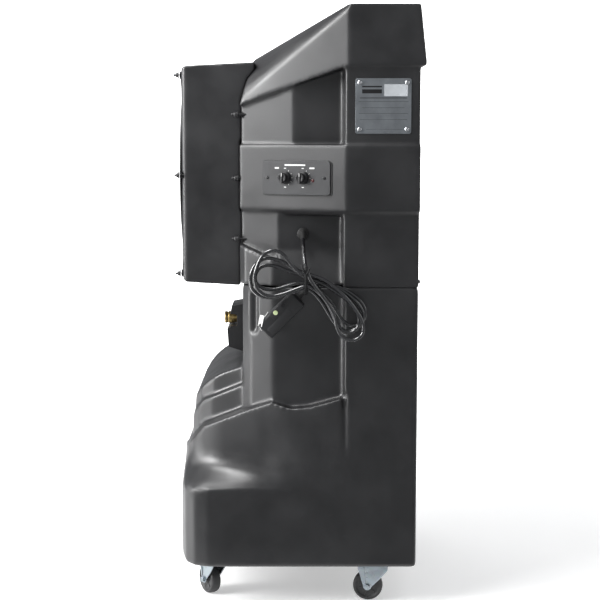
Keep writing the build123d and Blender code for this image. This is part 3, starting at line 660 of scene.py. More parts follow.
# ------------------------------------------------------------------ fluted cellulose pad
bm = bmesh.new()
nsh = 84
x0, x1 = -321.0, 321.0
zs = [745 + 428 * i / 190 for i in range((190) + 1)]
for s in range(nsh + 1):
    x = x0 + (x1 - x0) * s / nsh
    ph = math.pi * s
    amp = (x1 - x0) / nsh * 0.46
    back, front = [], []
    for z in zs:
        dx = amp * math.sin(2 * math.pi * z / 15.0 + ph) if 0 < s < nsh else 0.0
        dx2 = amp * math.sin(2 * math.pi * (z + 20) / 15.0 + ph) if 0 < s < nsh else 0.0
        back.append(bm.verts.new(P(x + dx, 237.6, z)))
        front.append(bm.verts.new(P(x + dx2, 212.0, z)))
    for i in range(len(zs) - 1):
        bm.faces.new((back[i], back[i + 1], front[i + 1], front[i]))
flutes = from_bm("pad_flutes", bm, "pad", "root")
so = flutes.modifiers.new("paper", "SOLIDIFY")
so.thickness = 0.0006
so.offset = 0
bm = bmesh.new()
rbox(bm, P(0, 185.5, 959), (0.643, 0.053, 0.429), bev=0.002)
rbox(bm, P(0, 198, 745.6), (0.643, 0.079, 0.003), bev=0.001)
rbox(bm, P(0, 198, 1172.4), (0.643, 0.079, 0.003), bev=0.001)
core = from_bm("pad_core", bm, "pad", "root", smooth=False)
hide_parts("media_pad")

# ------------------------------------------------------------------ control face
nl = math.hypot(115.0, 233.0)
TN = Vector((233 / nl, -115 / nl, 0))
TA = Vector((115 / nl, 233 / nl, 0))
UPZ = Vector((0, 0, 1))
PM = Matrix((TA, UPZ, TN)).transposed()


def on(u, z, o=0.0):
    return P(257 + TA.x * u + TN.x * o, -134 + TA.y * u + TN.y * o, z)


PU, PZ = 141.0, 953.0


def knob(name, u, z, body, node):
    bm = bmesh.new()
    lathe(bm, [(0.0030, 0.0), (0.0128, 0.0), (0.0135, 0.0007), (0.0135, 0.0030), (0.0126, 0.0040), (0.0108, 0.0046), (0.0104, 0.0060), (0.0100, 0.0118), (0.0092, 0.0128), (0.0078, 0.0132), (0.0070, 0.0126), (0, 0.0124)],
          on(u, z, 7.6), TN, 96, flute=(0.0058, 0.0120, 0.035, 24))
    lathe(bm, [(0, 0.0), (0.003, 0.0), (0.003, 0.029)], on(u, z, -21), TN, 20)
    rbox(bm, on(u, z, 17.8), (0.0056, 0.0225, 0.0084), PM, 0.0014, 3)
    k = from_bm(name, bm, "knob", body)
    autosmooth(k, 40)
    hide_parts(node)
    bm = bmesh.new()
    rbox(bm, on(u, z + 6.8, 22.05), (0.0011, 0.0075, 0.0006), PM, 0.0002, 1)
    p = from_bm(name + "_pointer", bm, "white", body, smooth=False)
    return k


knob("fan_knob_moulding", 115, 953, "fan_knob", "fan_knob")
knob("pump_knob_moulding", 158, 953, "pump_knob", "pump_knob")

# plate with rounded rim
bm = bmesh.new()
rbox(bm, on(PU, PZ, 2.75), (0.165, 0.075, 0.0025), PM, 0.0, 1)
geo = [e for e in bm.edges if abs((e.verts[0].co - e.verts[1].co).normalized().dot(TN)) > 0.9]
bmesh.ops.bevel(bm, geom=geo, offset=0.008, segments=8, profile=0.5, affect="EDGES")
bmesh.ops.bevel(bm, geom=[e for e in bm.edges if abs((e.verts[0].co - e.verts[1].co).normalized().dot(TN)) < 0.1 and ((e.verts[0].co + e.verts[1].co) / 2 - on(PU, PZ, 2.75)).dot(TN) > 0.001 and len([f for f in e.link_faces if abs(f.normal.dot(TN)) > 0.9]) == 1], offset=0.0008, segments=2, profile=0.5, affect="EDGES")
plate = from_bm("control_face", bm, "panel", "root", smooth=False)
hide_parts("control_plate")
# printed marks: dial ticks and numbers only
bm = bmesh.new()
for u in (115, 158):
    for du, dz, w, h in ((0, 20.5, 5.2, 1.7), (0, -20.5, 5.0, 1.7)):
        rbox(bm, on(u + du, 953 + dz, 4.02), (w / 1000, h / 1000, 0.00012), PM, 0, 1)
for a in (30, 60, 90, 120, 150):
    for u in (115,):
        ca, sa = math.sin(math.radians(a)), math.cos(math.radians(a))
        rbox(bm, on(u + 17.2 * ca, 953 + 17.2 * sa, 4.02), (0.0008, 0.0026, 0.00012), PM @ Matrix.Rotation(-math.radians(a), 3, "Z"), 0, 1)
for a in (30, 60, 90):
    ca, sa = math.sin(math.radians(a)), math.cos(math.radians(a))
    rbox(bm, on(158 + 17.2 * ca, 953 + 17.2 * sa, 4.02), (0.0008, 0.0026, 0.00012), PM @ Matrix.Rotation(-math.radians(a), 3, "Z"), 0, 1)
# plain bars where the printed heading and captions sit
rbox(bm, on(139, 980.5, 4.02), (0.050, 0.0030, 0.00012), PM, 0, 1)
rbox(bm, on(95, 974, 4.02), (0.010, 0.0032, 0.00012), PM, 0, 1)
rbox(bm, on(180, 974, 4.02), (0.012, 0.0032, 0.00012), PM, 0, 1)
marks = from_bm("panel_marks", bm, "white", "root", smooth=False)
bm = bmesh.new()
for u in (PU - 70, PU + 68):
    lathe(bm, [(0.0038, 0.0), (0.0038, 0.0008), (0.0030, 0.0018), (0.0016, 0.0023), (0.0011, 0.0014), (0, 0.0012)], on(u, PZ, 4.0), TN, 28)
ps = from_bm("panel_screw_heads", bm, "coat", "root")
autosmooth(ps, 30)
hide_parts("plate_screws")
bm = bmesh.new()
lathe(bm, [(0.0037, 0.0), (0.0037, 0.0006), (0.0030, 0.0014), (0.0026, 0.0014), (0.0022, 0.0020), (0, 0.0024)], on(182, 947.5, 4.0), TN, 32)
lathe(bm, [(0, 0), (0.0029, 0), (0.0029, 0.018)], on(182, 947.5, -14), TN, 20)
lamp = from_bm("lamp_lens", bm, "red", "root")
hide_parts("indicator_lamp")
bm = bmesh.new()
rbox(bm, on(174.5, 953.5, 4.02), (0.0022, 0.0022, 0.00012), PM, 0, 1)
rbox(bm, on(174.0, 947.0, 4.02), (0.0014, 0.0014, 0.00012), PM, 0, 1)
rm = from_bm("lamp_marks", bm, "red", "root", smooth=False)

# ------------------------------------------------------------------ nameplate, blank with ruled lines
XP = 365.0
bm = bmesh.new()
rbox(bm, P(XP + 0.75, 177.5, 1106.5), (0.0015, 0.119, 0.117), None, 0.0, 1)
bmesh.ops.bevel(bm, geom=[e for e in bm.edges if abs((e.verts[0].co - e.verts[1].co).normalized().x) > 0.9], offset=0.0045, segments=6, profile=0.5, affect="EDGES")
npl = from_bm("nameplate_sheet", bm, "plate", "root", smooth=False)
bv = npl.modifiers.new("edge", "BEVEL")
bv.width = 0.0004
bv.segments = 2
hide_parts("nameplate")
M["ink"] = plastic("plate_ink", (0.05, 0.055, 0.06), 0.4, 0.55, 900.0, 0.05, 0.0)
M["inkdark"] = plastic("plate_ink_dark", (0.006, 0.006, 0.007), 0.35, 0.5, 900.0, 0.05, 0.0)
bm = bmesh.new()
for z, w in ((1116, 106), (1103, 90), (1091, 104), (1078, 100), (1057.5, 78)):
    rbox(bm, P(XP + 1.55, 177.5 + (0 if z != 1057.5 else 2), z), (0.0001, w / 1000, 0.0008), None, 0, 1)
lines = from_bm("nameplate_rules", bm, "ink", "root", smooth=False)
bm = bmesh.new()
for z, h in ((1147.5, 3.2), (1137.5, 8.5)):
    rbox(bm, P(XP + 1.55, 153, z), (0.0001, 0.042, h / 1000), None, 0, 1)
rbox(bm, P(XP + 1.55, 177.5, 1123.6), (0.0001, 0.100, 0.0014), None, 0, 1)
blk = from_bm("nameplate_blocks", bm, "inkdark", "root", smooth=False)
M["inkpale"] = plastic("plate_ink_pale", (0.42, 0.44, 0.46), 0.4, 0.55, 900.0, 0.05, 0.0)
bm = bmesh.new()
rbox(bm, P(XP + 1.55, 204, 1140), (0.0001, 0.050, 0.025), None, 0, 1)
pale = from_bm("nameplate_field", bm, "inkpale", "root", smooth=False)
bm = bmesh.new()
for y in (127, 228):
    for z in (1057, 1156):
        c = P(XP + 1.5, y, z)
        lathe(bm, [(0.0050, 0.0), (0.0051, 0.0006), (0.0046, 0.0016), (0.0034, 0.0024), (0.0014, 0.0028), (0.0010, 0.0018), (0, 0.0016)], c, (1, 0, 0), 32)
        lathe(bm, [(0, 0), (0.002, 0), (0.002, 0.0112)], P(XP - 10, y, z), (1, 0, 0), 14)
ns = from_bm("nameplate_screw_heads", bm, "steel", "root")
autosmooth(ns, 30)
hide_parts("nameplate_screws")

# ------------------------------------------------------------------ brass hose fitting
bm = bmesh.new()
o = P(0, -120, 606)
lathe(bm, [(0.0060, 0.0), (0.0104, 0.0), (0.0104, 0.0225), (0.0128, 0.0235), (0.0133, 0.0245), (0.0133, 0.0285), (0.0128, 0.0295), (0.0090, 0.0300), (0.0090, 0.0475), (0.0082, 0.0480), (0.0060, 0.0480)], o, (0, -1, 0), 48)
inl = from_bm("inlet_tail", bm, "brass", "root")
autosmooth(inl, 30)
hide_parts("brass_inlet")
bm = bmesh.new()
o = P(0, -152, 606)
prof = [(0.00905, 0.0), (0.0118, 0.0), (0.0126, 0.0008), (0.0126, 0.0058), (0.0145, 0.0066), (0.0145, 0.0200), (0.0139, 0.0208), (0.0132, 0.0214), (0.0132, 0.0232), (0.0139, 0.0240), (0.0145, 0.0250), (0.0145, 0.0292), (0.0140, 0.0300), (0.0122, 0.0300)]
h = 0.0295
while h > 0.0182:
    prof += [(0.0122, h), (0.0117, h - 0.0011)]
    h -= 0.0022
prof += [(0.0122, 0.0180), (0.00905, 0.0178), (0.00905, 0.0)]
lathe(bm, prof, o, (0, -1, 0), 96, flute=(0.0068, 0.0199, 0.022, 20))
nut = from_bm("hose_nut", bm, "brass", "swivel_nut")
autosmooth(nut, 35)
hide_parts("swivel_nut")
bm = bmesh.new()
lathe(bm, [(0.0062, 0), (0.0114, 0), (0.0114, 0.0022), (0.0062, 0.0022)], P(0, -168.6, 606), (0, -1, 0), 40)
was = from_bm("hose_washer", bm, "rubber", "swivel_nut")

# ------------------------------------------------------------------ casters
CAST = {"front_right": (270, -194, 58.0), "rear_right": (300, 178, 8.0), "front_left": (-270, -194, 20.0), "rear_left": (-300, 178, 215.0)}
bmp = bmesh.new()
for key, (cx, cy, t) in CAST.items():
    rot = Matrix.Rotation(-math.radians(t), 3, "Z")
    c0 = P(cx, cy, 0)

    def L(x, y, z):
        return c0 + rot @ Vector((x / 1000.0, y / 1000.0, z / 1000.0))
    ax = rot @ Vector((1, 0, 0))
    # wheel: tyre, side recess with hub
    w = bmesh.new()
    lathe(w, [(0.0041, -0.0120), (0.0100, -0.0120), (0.0112, -0.0112), (0.0120, -0.0092), (0.0225, -0.0088), (0.0250, -0.0098), (0.0268, -0.0116), (0.0285, -0.0119), (0.0312, -0.0108), (0.0328, -0.0082), (0.0334, -0.0045), (0.0335, 0.0),
              (0.0334, 0.0045), (0.0328, 0.0082), (0.0312, 0.0108), (0.0285, 0.0119), (0.0268, 0.0116), (0.0250, 0.0098), (0.0225, 0.0088), (0.0120, 0.0092), (0.0112, 0.0112), (0.0100, 0.0120), (0.0041, 0.0120), (0.0041, -0.0120)],
          L(0, -24.5, 33.5), ax, 72)
    wo = from_bm("wheel_moulding_" + key, w, "tread", "wheel_" + key)
    autosmooth(wo, 50)
    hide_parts("caster_wheel_" + key)
    w = bmesh.new()
    for s in (-1, 1):
        for k in range(6):
            a = math.radians(60 * k + 15)
            d = rot @ Vector((0, math.cos(a), 0)) + Vector((0, 0, math.sin(a)))
            mm = Matrix((ax, d, ax.cross(d))).transposed()
            rbox(w, L(0, -24.5, 33.5) + ax * s * 0.0094 + d * 0.0170, (0.0016, 0.0110, 0.0026), mm, 0.0005, 2)
        lathe(w, [(0.0046, 0.0119), (0.0086, 0.0119), (0.0086, 0.0126), (0.0046, 0.0128)], L(0, -24.5, 33.5), ax * s, 32)
    wr = from_bm("wheel_ribs_" + key, w, "wheelhub", "wheel_" + key)
    # axle bolt and nut
    w = bmesh.new()
    for s in (-1, 1):
        lathe(w, [(0, 0.0170), (0.0078, 0.0170), (0.0078, 0.0178), (0.0040, 0.0180)], L(0, -24.5, 33.5), ax * s, 32)
        lathe(w, [(0.0040, 0.0178), (0.0062, 0.0178), (0.0064, 0.0183), (0.0064, 0.0214), (0.0056, 0.0222), (0.0030, 0.0222), (0.0028, 0.0228), (0, 0.0230)], L(0, -24.5, 33.5), ax * s, 6)
    lathe(w, [(0, -0.0175), (0.004, -0.0175), (0.004, 0.0175), (0, 0.0175)], L(0, -24.5, 33.5), ax, 24)
    wa = from_bm("axle_bolt_" + key, w, "zinc", "fork_" + key, smooth=False)
    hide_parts("caster_axle_" + key)
    # pressed fork: crown with flange and two ribbed legs
    w = bmesh.new()
    ol = [(20, 84.4), (22, 80), (21, 72), (8, 56), (-12, 36), (-16.5, 29.0), (-20.5, 25.6), (-24.5, 24.6), (-28.5, 25.8), (-32.5, 30), (-37, 45), (-42, 62), (-46, 74), (-46, 84.4)]
    for s in (-1, 1):
        outer = [w.verts.new(L(s * (17.0 + (1.6 if z > 60 else 0) * (z - 60) / 25), y, z)) for y, z in ol]
        inner = [w.verts.new(L(s * (14.6 + (1.6 if z > 60 else 0) * (z - 60) / 25), y, z)) for y, z in ol]
        w.faces.new(outer)
        w.faces.new(inner)
        k = len(ol)
        for i in range(k):
            w.faces.new((outer[i], outer[(i + 1) % k], inner[(i + 1) % k], inner[i]))
        # pressed rib and folded rear edge
        wire_path(w, [L(s * 17.4, -30, 40), L(s * 17.9, -31, 55), L(s * 18.6, -32, 68), L(s * 19.0, -32, 78)], 0.0016, 10)
    rbox(w, L(0, -13, 83.2), (0.0365, 0.067, 0.0026), rot, 0.0010, 2)
    lathe(w, [(0.0052, 0.0830), (0.0245, 0.0830), (0.0250, 0.0838), (0.0250, 0.0860), (0.0240, 0.0874), (0.0052, 0.0875)], L(0, 0, 0), (0, 0, 1), 64)
    fo = from_bm("fork_pressing_" + key, w, "zinc", "fork_" + key, smooth=False)
    bv = fo.modifiers.new("edge", "BEVEL")
    bv.width = 0.0007
    bv.segments = 2
    bv.limit_method = "ANGLE"
    bv.angle_limit = math.radians(50)
    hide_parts("caster_fork_" + key)
    # plate with race, studs
    rbox(bmp, P(cx, cy, 98.5), (0.066, 0.066, 0.003), None, 0.0009, 2)
    lathe(bmp, [(0, 0.0790), (0.0050, 0.0790), (0.0050, 0.0880), (0.0190, 0.0880), (0.0218, 0.0886), (0.0226, 0.0900), (0.0220, 0.0950), (0.0240, 0.0972), (0, 0.0975)], P(cx, cy, 0), (0, 0, 1), 56)
    for hx in (-26, 26):
        for hy in (-26, 26):
            lathe(bmp, [(0, 0.0), (0.0030, 0.0), (0.0046, 0.0010), (0.0046, 0.0035), (0, 0.0036)], P(cx + hx, cy + hy, 93.6), (0, 0, 1), 16)
pl = from_bm("caster_mounting_plates", bmp, "zinc", "root")
autosmooth(pl, 30)
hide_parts("caster_plates")

# ------------------------------------------------------------------ small carried-over parts keep their shape and get broken edges
for n in ("motor_mount", "float_valve", "float_arm", "pump_body", "pump_strainer", "drain_plug", "pad_frame", "pad_tray", "water_distributor", "fan_motor", "motor_bolts",
          "seam_screws", "electrical_box", "rotary_switches", "plate_gasket", "float_pin", "fan_shaft", "supply_hose", "air_duct", "float_ball"):
    ob = N[n]
    bv = ob.modifiers.new("edge", "BEVEL")
    bv.width = 0.0008 if n not in ("pad_frame", "fan_motor", "pump_body") else 0.0015
    bv.segments = 2
    bv.limit_method = "ANGLE"
    bv.angle_limit = math.radians(40)
    bv.use_clamp_overlap = True

# ------------------------------------------------------------------ supply cord, hank, tie, plug
def C2(cx, cy, x):
    """Side-view position on the hank, with its depth X in mm."""
    return (x, cx * 0.19063 - 128.1, 853.6 - cy * 0.19063)


ROUTE = [(316, 6.5, 819), (325, 6.7, 814.6), (345, 7.2, 806), (368, 8.5, 790), (388, 10.5, 770)]
HANK = [
    (750, 500, 405.5), (788, 600, 406.4), (850, 690, 405.9), (925, 785, 405.9), (1000, 885, 405.9), (1062, 1000, 405.9), (1080, 1130, 405.9), (1135, 1245, 405.9), (1265, 1300, 405.9), (1385, 1225, 405.9), (1385, 1080, 405.9),
    (1290, 925, 405.9), (1190, 800, 405.9), (1080, 695, 405.5), (960, 612, 401.5), (850, 568, 397.6), (745, 545, 397.6),
    (665, 522, 397.6), (598, 462, 397.6), (535, 382, 397.6), (470, 305, 397.6), (390, 270, 397.6), (300, 288, 397.6), (235, 355, 397.6), (190, 450, 397.6), (160, 560, 397.6), (172, 675, 397.6), (245, 770, 397.6), (360, 795, 397.6), (480, 768, 397.6), (600, 722, 397.6), (745, 668, 397.6),
    (850, 718, 397.6), (935, 800, 397.6), (1005, 905, 397.6), (1050, 1020, 397.6), (1105, 1140, 397.6), (1200, 1215, 397.6), (1310, 1180, 397.6), (1345, 1070, 397.6), (1300, 945, 397.6), (1215, 845, 397.6), (1100, 755, 397.2), (980, 682, 394), (860, 628, 390), (745, 590, 389.3),
    (650, 525, 389.3), (545, 440, 389.3), (430, 380, 389.3), (305, 360, 389.3), (205, 398, 389.3), (140, 480, 389.3), (108, 590, 389.3), (125, 705, 389.3), (200, 785, 389.3), (315, 815, 389.3), (440, 800, 389.3), (580, 752, 389.3), (745, 704, 389.3),
    (835, 762, 389.3), (912, 852, 389.3), (975, 955, 389.3), (1035, 1060, 389.3), (1105, 1155, 389.3), (1210, 1205, 389.3), (1325, 1160, 389.3), (1390, 1070, 389.3), (1385, 965, 389.3), (1315, 865, 389.3), (1210, 775, 389), (1090, 698, 388), (960, 636, 384.5), (850, 596, 381.5), (745, 556, 381),
    (640, 545, 381), (540, 518, 381), (430, 470, 381), (318, 440, 381), (220, 470, 381), (162, 555, 381), (172, 655, 381), (250, 722, 381), (375, 730, 381), (500, 692, 381), (620, 655, 381), (745, 637, 381),
    (850, 690, 381), (950, 780, 381), (1040, 890, 381), (1105, 1005, 381), (1180, 1110, 381), (1290, 1150, 381), (1390, 1095, 381), (1420, 985, 381), (1375, 875, 380.5), (1275, 785, 379), (1150, 715, 376.5), (1020, 682, 373.5), (900, 680, 372.5), (810, 690, 371.5), (748, 722, 369.5), (700, 772, 367.6), (672, 803, 367), (655, 823, 367),
]
pts = [P(*p) for p in ROUTE] + [P(*C2(*p)) for p in HANK]
cu = bpy.data.curves.new("power_cord_line", "CURVE")
cu.dimensions = "3D"
sp = cu.splines.new("NURBS")
sp.points.add(len(pts) - 1)
for k, p in enumerate(pts):
    sp.points[k].co = (*p, 1)
sp.order_u = 3
sp.use_endpoint_u = True
sp.resolution_u = 10
cu.bevel_depth = 0.004
cu.bevel_resolution = 5
cu.use_fill_caps = True
cu.materials.append(M["jacket"])
cord_o = bpy.data.objects.new("supply_cord", cu)
SC.collection.objects.link(cord_o)
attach(cord_o, "root")
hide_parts("power_cord", "cord_hank")


def quad(pp, per=12):
    """Points along the clamped quadratic that the control points give."""
    out = []
    n = len(pp)
    mids = [pp[0]] + [(pp[i] + pp[i + 1]) / 2 for i in range(1, n - 2)] + [pp[-1]]
    for i in range(1, n - 1):
        a, b, c = mids[i - 1], pp[i], mids[i]
        for k in range(per):
            s = k / per
            out.append(a * (1 - s) ** 2 + b * 2 * s * (1 - s) + c * s * s)
    out.append(mids[-1])
    return out


line = quad(pts)
near = (9, 0, 0)
arc = [0.0]
for a, b in zip(line, line[1:]):
    arc.append(arc[-1] + (b - a).length)
for i in range(0, len(line), 3):
    for j in range(i + 3, len(line), 3):
        if arc[j] - arc[i] > 0.03:
            d = (line[i] - line[j]).length
            if d < near[0]:
                near = (d, i, j)
            if d < 0.0074:
                print("CLOSE %.1f mm" % (d * 1000), [round(v * 1000) for v in line[i]], [round(v * 1000) for v in line[j]])
rmin = 9
for i in range(6, len(line) - 6, 3):
    a, b, c = line[i - 6], line[i], line[i + 6]
    A, B, C_ = (b - a).length, (c - b).length, (c - a).length
    s = (A + B + C_) / 2
    ar = math.sqrt(max(1e-18, s * (s - A) * (s - B) * (s - C_)))
    r_ = A * B * C_ / (4 * ar)
    if r_ < 0.020:
        print("TIGHT %.0f mm" % (r_ * 1000), [round(v * 1000) for v in b])
    rmin = min(rmin, r_)

# tie: a flat strap round the strands, with its twisted tail
bm = bmesh.new()
loop = []
cxx, czz, hx, hz, rr = 388.6, 736.5, 23.2, 29.5, 15.0
for k in range(96):
    a = 2 * math.pi * k / 96
    qx = math.copysign(1, math.cos(a))
    qz = math.copysign(1, math.sin(a))
    e = 0.42
    loop.append((cxx + hx * qx * abs(math.cos(a)) ** e, czz + hz * qz * abs(math.sin(a)) ** e))
rows = []
for i, (x, z) in enumerate(loop):
    x0, z0 = loop[i - 1]
    x1, z1 = loop[(i + 1) % 96]
    n = Vector((z1 - z0, 0, -(x1 - x0))).normalized()
    row = []
    for (o_, y_) in ((-0.7, 10.4), (0.5, 10.0), (1.1, 11.0), (1.2, 13.0), (1.1, 15.0), (0.5, 16.0), (-0.7, 15.6)):
        row.append(bm.verts.new(P(x + n.x * o_, y_ + 0.6 * math.sin(i * 0.4), z + n.z * o_)))
    rows.append(row)
for i in range(96):
    a, b = rows[i], rows[(i + 1) % 96]
    for k in range(6):
        bm.faces.new((a[k], a[k + 1], b[k + 1], b[k]))
    bm.faces.new((a[6], a[0], b[0], b[6]))
wire_path(bm, [P(411.5, 12, 752), P(412.2, 9.0, 757), P(411.6, 6, 763), P(409, 4, 768), P(406, 3, 771.5)], 0.0018, 8)
wire_path(bm, [P(411.5, 14, 752), P(412.3, 17, 756), P(411.4, 19, 760.5), P(409, 21, 764)], 0.0018, 8)
tie = from_bm("cord_strap", bm, "tiewrap", "root")
autosmooth(tie, 50)
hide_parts("cord_tie")

# gland: flange, hexagon collar, ribbed taper down to the cord
gd = Vector((0.894, 0, -0.447)).normalized()
bm = bmesh.new()
lathe(bm, [(0.0, -0.001), (0.0122, -0.001), (0.0130, 0.0), (0.0130, 0.0030), (0.0118, 0.0040), (0.0088, 0.0042)], P(290, 6.5, 829), (1, 0, 0), 48)
lathe(bm, [(0.0, 0.0035), (0.0096, 0.0035), (0.0100, 0.0042), (0.0100, 0.0082), (0.0092, 0.0092), (0.0, 0.0092)], P(290, 6.5, 828.6), (1, 0, 0), 6)
prof = [(0.0, 0.0), (0.0094, 0.0)]
k = 0
while k < 7:
    h0 = 0.0008 + k * 0.0029
    r0_ = 0.0092 - 0.00048 * k
    prof += [(r0_, h0), (r0_ - 0.0001, h0 + 0.0014), (r0_ - 0.0015, h0 + 0.0017), (r0_ - 0.0016, h0 + 0.0026)]
    k += 1
prof += [(0.0058, 0.0212), (0.0056, 0.0224), (0.0042, 0.0230), (0.0, 0.0230)]
lathe(bm, prof, P(295.8, 6.5, 829.1), gd, 48)
gl = from_bm("gland_moulding", bm, "rubber", "root")
autosmooth(gl, 40)
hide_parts("cord_gland")

# plug-in circuit interrupter
ea = Vector((0, 0.70711, 0.70711))
eb = Vector((0, -0.70711, 0.70711))
ex = Vector((1, 0, 0))
GM = Matrix((ea, eb, ex)).transposed()
gc = P(367, -40.6, 659)


def G(a, b, x):
    return gc + ea * a / 1000 + eb * b / 1000 + ex * x / 1000


bm = bmesh.new()
rbox(bm, G(0, 0, -8.2), (0.104, 0.043, 0.0136), GM, 0.0030, 4)
rbox(bm, G(0, 0, 6.6), (0.1040, 0.0430, 0.0168), GM, 0.0052, 5)
rbox(bm, G(0, 0, -1.6), (0.1024, 0.0414, 0.004), GM, 0.0008, 2)
rbox(bm, G(5, 11.5, 15.15), (0.046, 0.0165, 0.0004), GM, 0.00015, 2)
rbox(bm, G(-10, -7.5, 14.7), (0.066, 0.0170, 0.0007), GM, 0.0003, 2)
for k in range(7):
    rbox(bm, G(-26 - 3.2 * k, 21.3, 2), (0.0014, 0.0014, 0.018), GM, 0.0005, 2)
    rbox(bm, G(-26 - 3.2 * k, -21.3, 2), (0.0014, 0.0014, 0.018), GM, 0.0005, 2)
lathe(bm, [(0, -0.002), (0.0100, -0.002), (0.0098, 0.002), (0.0080, 0.0040), (0, 0.0040)], G(50, 0, 0), ea, 40)
for sx, sy in ((-44, 14), (44, 14), (-44, -14), (44, -14)):
    lathe(bm, [(0.0, 0.0001), (0.0014, 0.0001), (0.0026, 0.0), (0.0030, 0.0007), (0.0034, 0.0)], G(sx, sy, -15.0), -ex, 24)
gb = from_bm("interrupter_shell", bm, "gfci", "root")
autosmooth(gb, 35)
# ribbed relief following the lead
bm = bmesh.new()
rel = quad([P(*C2(748, 722, 369.5)), P(*C2(700, 772, 367.6)), P(*C2(672, 803, 367)), P(*C2(655, 823, 367)), G(51, 0, 0)], 14)
rel = [p for p in rel if (p - G(50, 0, 0)).length < 0.028]
m_ = len(rel)
prev = None
rings = []
for i, p in enumerate(rel):
    d = (rel[min(m_ - 1, i + 1)] - rel[max(0, i - 1)]).normalized()
    u_ = (ex - d * ex.dot(d)).normalized()
    s_ = d.cross(u_)
    f = i / (m_ - 1)
    r_ = (0.0048 + 0.0034 * f) * (1.0 if (i // 3) % 2 else 0.86)
    if i == m_ - 1:
        r_ = 0.0085
    rings.append([bm.verts.new(p + u_ * r_ * math.cos(2 * math.pi * q / 28) + s_ * r_ * math.sin(2 * math.pi * q / 28)) for q in range(28)])
for a, b in zip(rings, rings[1:]):
    for q in range(28):
        bm.faces.new((a[q], a[(q + 1) % 28], b[(q + 1) % 28], b[q]))
bm.faces.new(rings[0])
bm.faces.new(rings[-1])
gr = from_bm("interrupter_relief", bm, "rubber", "root")
autosmooth(gr, 45)
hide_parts("gfci_housing")
# buttons and blades keep their own bodies
bm = bmesh.new()
lathe(bm, [(0, 0.0), (0.0048, 0.0), (0.0050, 0.0004), (0.0050, 0.0016), (0.0046, 0.0021), (0.0034, 0.0023), (0.0031, 0.0019), (0, 0.0019)], G(-4, 13, 14.8), ex, 48)
b1 = from_bm("reset_cap", bm, "green", "gfci_reset_button")
autosmooth(b1, 35)
bm = bmesh.new()
lathe(bm, [(0, 0.0), (0.0048, 0.0), (0.0050, 0.0004), (0.0050, 0.0016), (0.0046, 0.0021), (0.0034, 0.0023), (0.0031, 0.0019), (0, 0.0019)], G(18, 13, 14.8), ex, 48)
b2 = from_bm("test_cap", bm, "knob", "gfci_test_button")
autosmooth(b2, 35)
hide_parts("gfci_reset_button")
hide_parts("gfci_test_button")
bv = N["plug_pins"].modifiers.new("edge", "BEVEL")
bv.width = 0.0004
bv.segments = 2
# folded blank tag on the edge
bm = bmesh.new()
tm = Matrix.Rotation(math.radians(-13), 3, "X") @ Matrix.Rotation(math.radians(-25), 3, "Z")
rbox(bm, P(380.5, -84.0, 647.5), (0.0007, 0.0098, 0.0245), tm, 0.0002, 1)
wire_path(bm, [P(380.5, -76.6, 655.5), P(380.8, -72, 662), P(380.9, -69, 667)], 0.0006, 6)
wire_path(bm, [P(380.5, -87, 634.6), P(380.9, -84.8, 629.5), P(380.9, -83.2, 626)], 0.0006, 6)
tag = from_bm("plug_tag", bm, "white", "root", smooth=False)

# ------------------------------------------------------------------ backdrop, floor, light
def flat_mat(name, col, rough=0.9, emit=0.0):
    m, t, b = node_mat(name)
    b.inputs["Base Color"].default_value = (*col, 1)
    b.inputs["Roughness"].default_value = rough
    if emit:
        b.inputs["Emission Color"].default_value = (*col, 1)
        b.inputs["Emission Strength"].default_value = emit
    return m


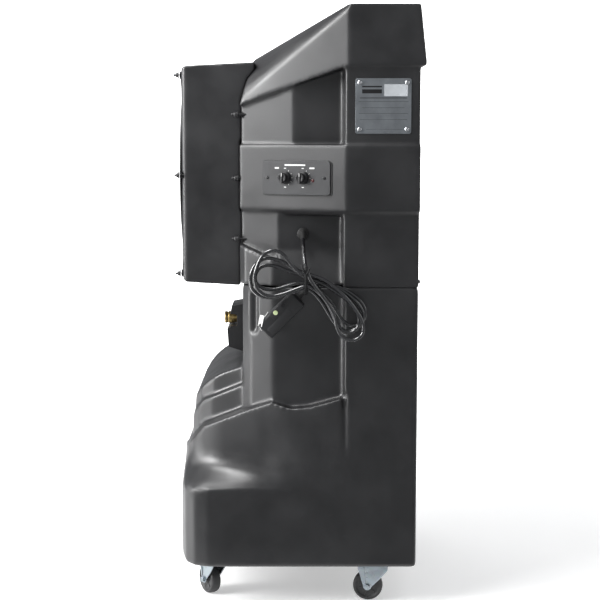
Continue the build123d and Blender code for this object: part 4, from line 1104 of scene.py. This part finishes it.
M["floor"] = flat_mat("studio_floor", (0.80, 0.80, 0.80), 0.8, 0.50)
M["wall"] = flat_mat("studio_wall", (1.0, 1.0, 1.0), 0.9, 1.0)
me = bpy.data.meshes.new("floor")
me.from_pydata([(-2.6, -4, 0), (0.47, -4, 0), (0.47, 4, 0), (-2.6, 4, 0), (4.5, -3.7, 0), (4.5, -1.6, 0), (0.47, -1.6, 0), (0.47, -3.7, 0)], [], [(0, 1, 7, 6, 2, 3), (7, 4, 5, 6)])
me.materials.append(M["floor"])
fl = bpy.data.objects.new("floor", me)
SC.collection.objects.link(fl)
me = bpy.data.meshes.new("apron")
me.from_pydata([(0.47, -1.6, 0), (4.5, -1.6, 0), (4.5, 4, 0), (0.47, 4, 0), (0.47, -5, 0), (4.5, -5, 0), (4.5, -3.7, 0), (0.47, -3.7, 0)], [], [(0, 1, 2, 3), (4, 5, 6, 7)])
me.materials.append(M["floor"])
ap = bpy.data.objects.new("apron", me)
SC.collection.objects.link(ap)
ap.visible_glossy = False
me = bpy.data.meshes.new("wall")
vs, fs = [], []
for i in range(13):
    a = math.radians(90 * i / 12)
    vs += [(-2.6 - 0.8 * math.sin(a), -4, 0.8 - 0.8 * math.cos(a)), (-2.6 - 0.8 * math.sin(a), 4, 0.8 - 0.8 * math.cos(a))]
vs += [(-3.4, -4, 4.5), (-3.4, 4, 4.5)]
for i in range(13):
    fs.append((2 * i, 2 * i + 1, 2 * i + 3, 2 * i + 2))
me.from_pydata(vs, [], fs)
me.materials.append(M["wall"])
wl = bpy.data.objects.new("wall", me)
SC.collection.objects.link(wl)
wl.visible_glossy = False


def area(name, loc, target, sx, sy, power, col=(1, 1, 1)):
    d = bpy.data.lights.new(name, "AREA")
    d.shape = "RECTANGLE"
    d.size = sx
    d.size_y = sy
    d.energy = power
    d.color = col
    o = bpy.data.objects.new(name, d)
    o.location = loc
    o.rotation_euler = (Vector(target) - Vector(loc)).to_track_quat("-Z", "Y").to_euler()
    SC.collection.objects.link(o)
    return o


area("key_front_left", (1.45, -3.3, 1.95), (0, -0.1, 0.8), 1.5, 1.7, 192)
area("side_strip", (0.5, -3.3, 0.42), (0.3, -0.2, 0.38), 0.6, 0.6, 26)
area("front_fill", (-0.6, -3.2, 1.5), (0, 0, 0.8), 1.4, 1.6, 16)
area("top", (0.9, -1.3, 3.3), (0, 0, 1.0), 1.4, 1.2, 96)
area("rear_edge", (0.7, 3.0, 1.9), (0, 0.2, 0.8), 0.8, 1.8, 12)
w = bpy.data.worlds.new("studio")
SC.world = w
w.use_nodes = True
bg = w.node_tree.nodes["Background"]
bg.inputs[0].default_value = (0.9, 0.92, 0.95, 1)
bg.inputs[1].default_value = 0.355
SC.view_settings.view_transform = "Standard"
SC.view_settings.look = "None"
SC.view_settings.exposure = 0.0

# ------------------------------------------------------------------ view layer update
bpy.context.view_layer.update()
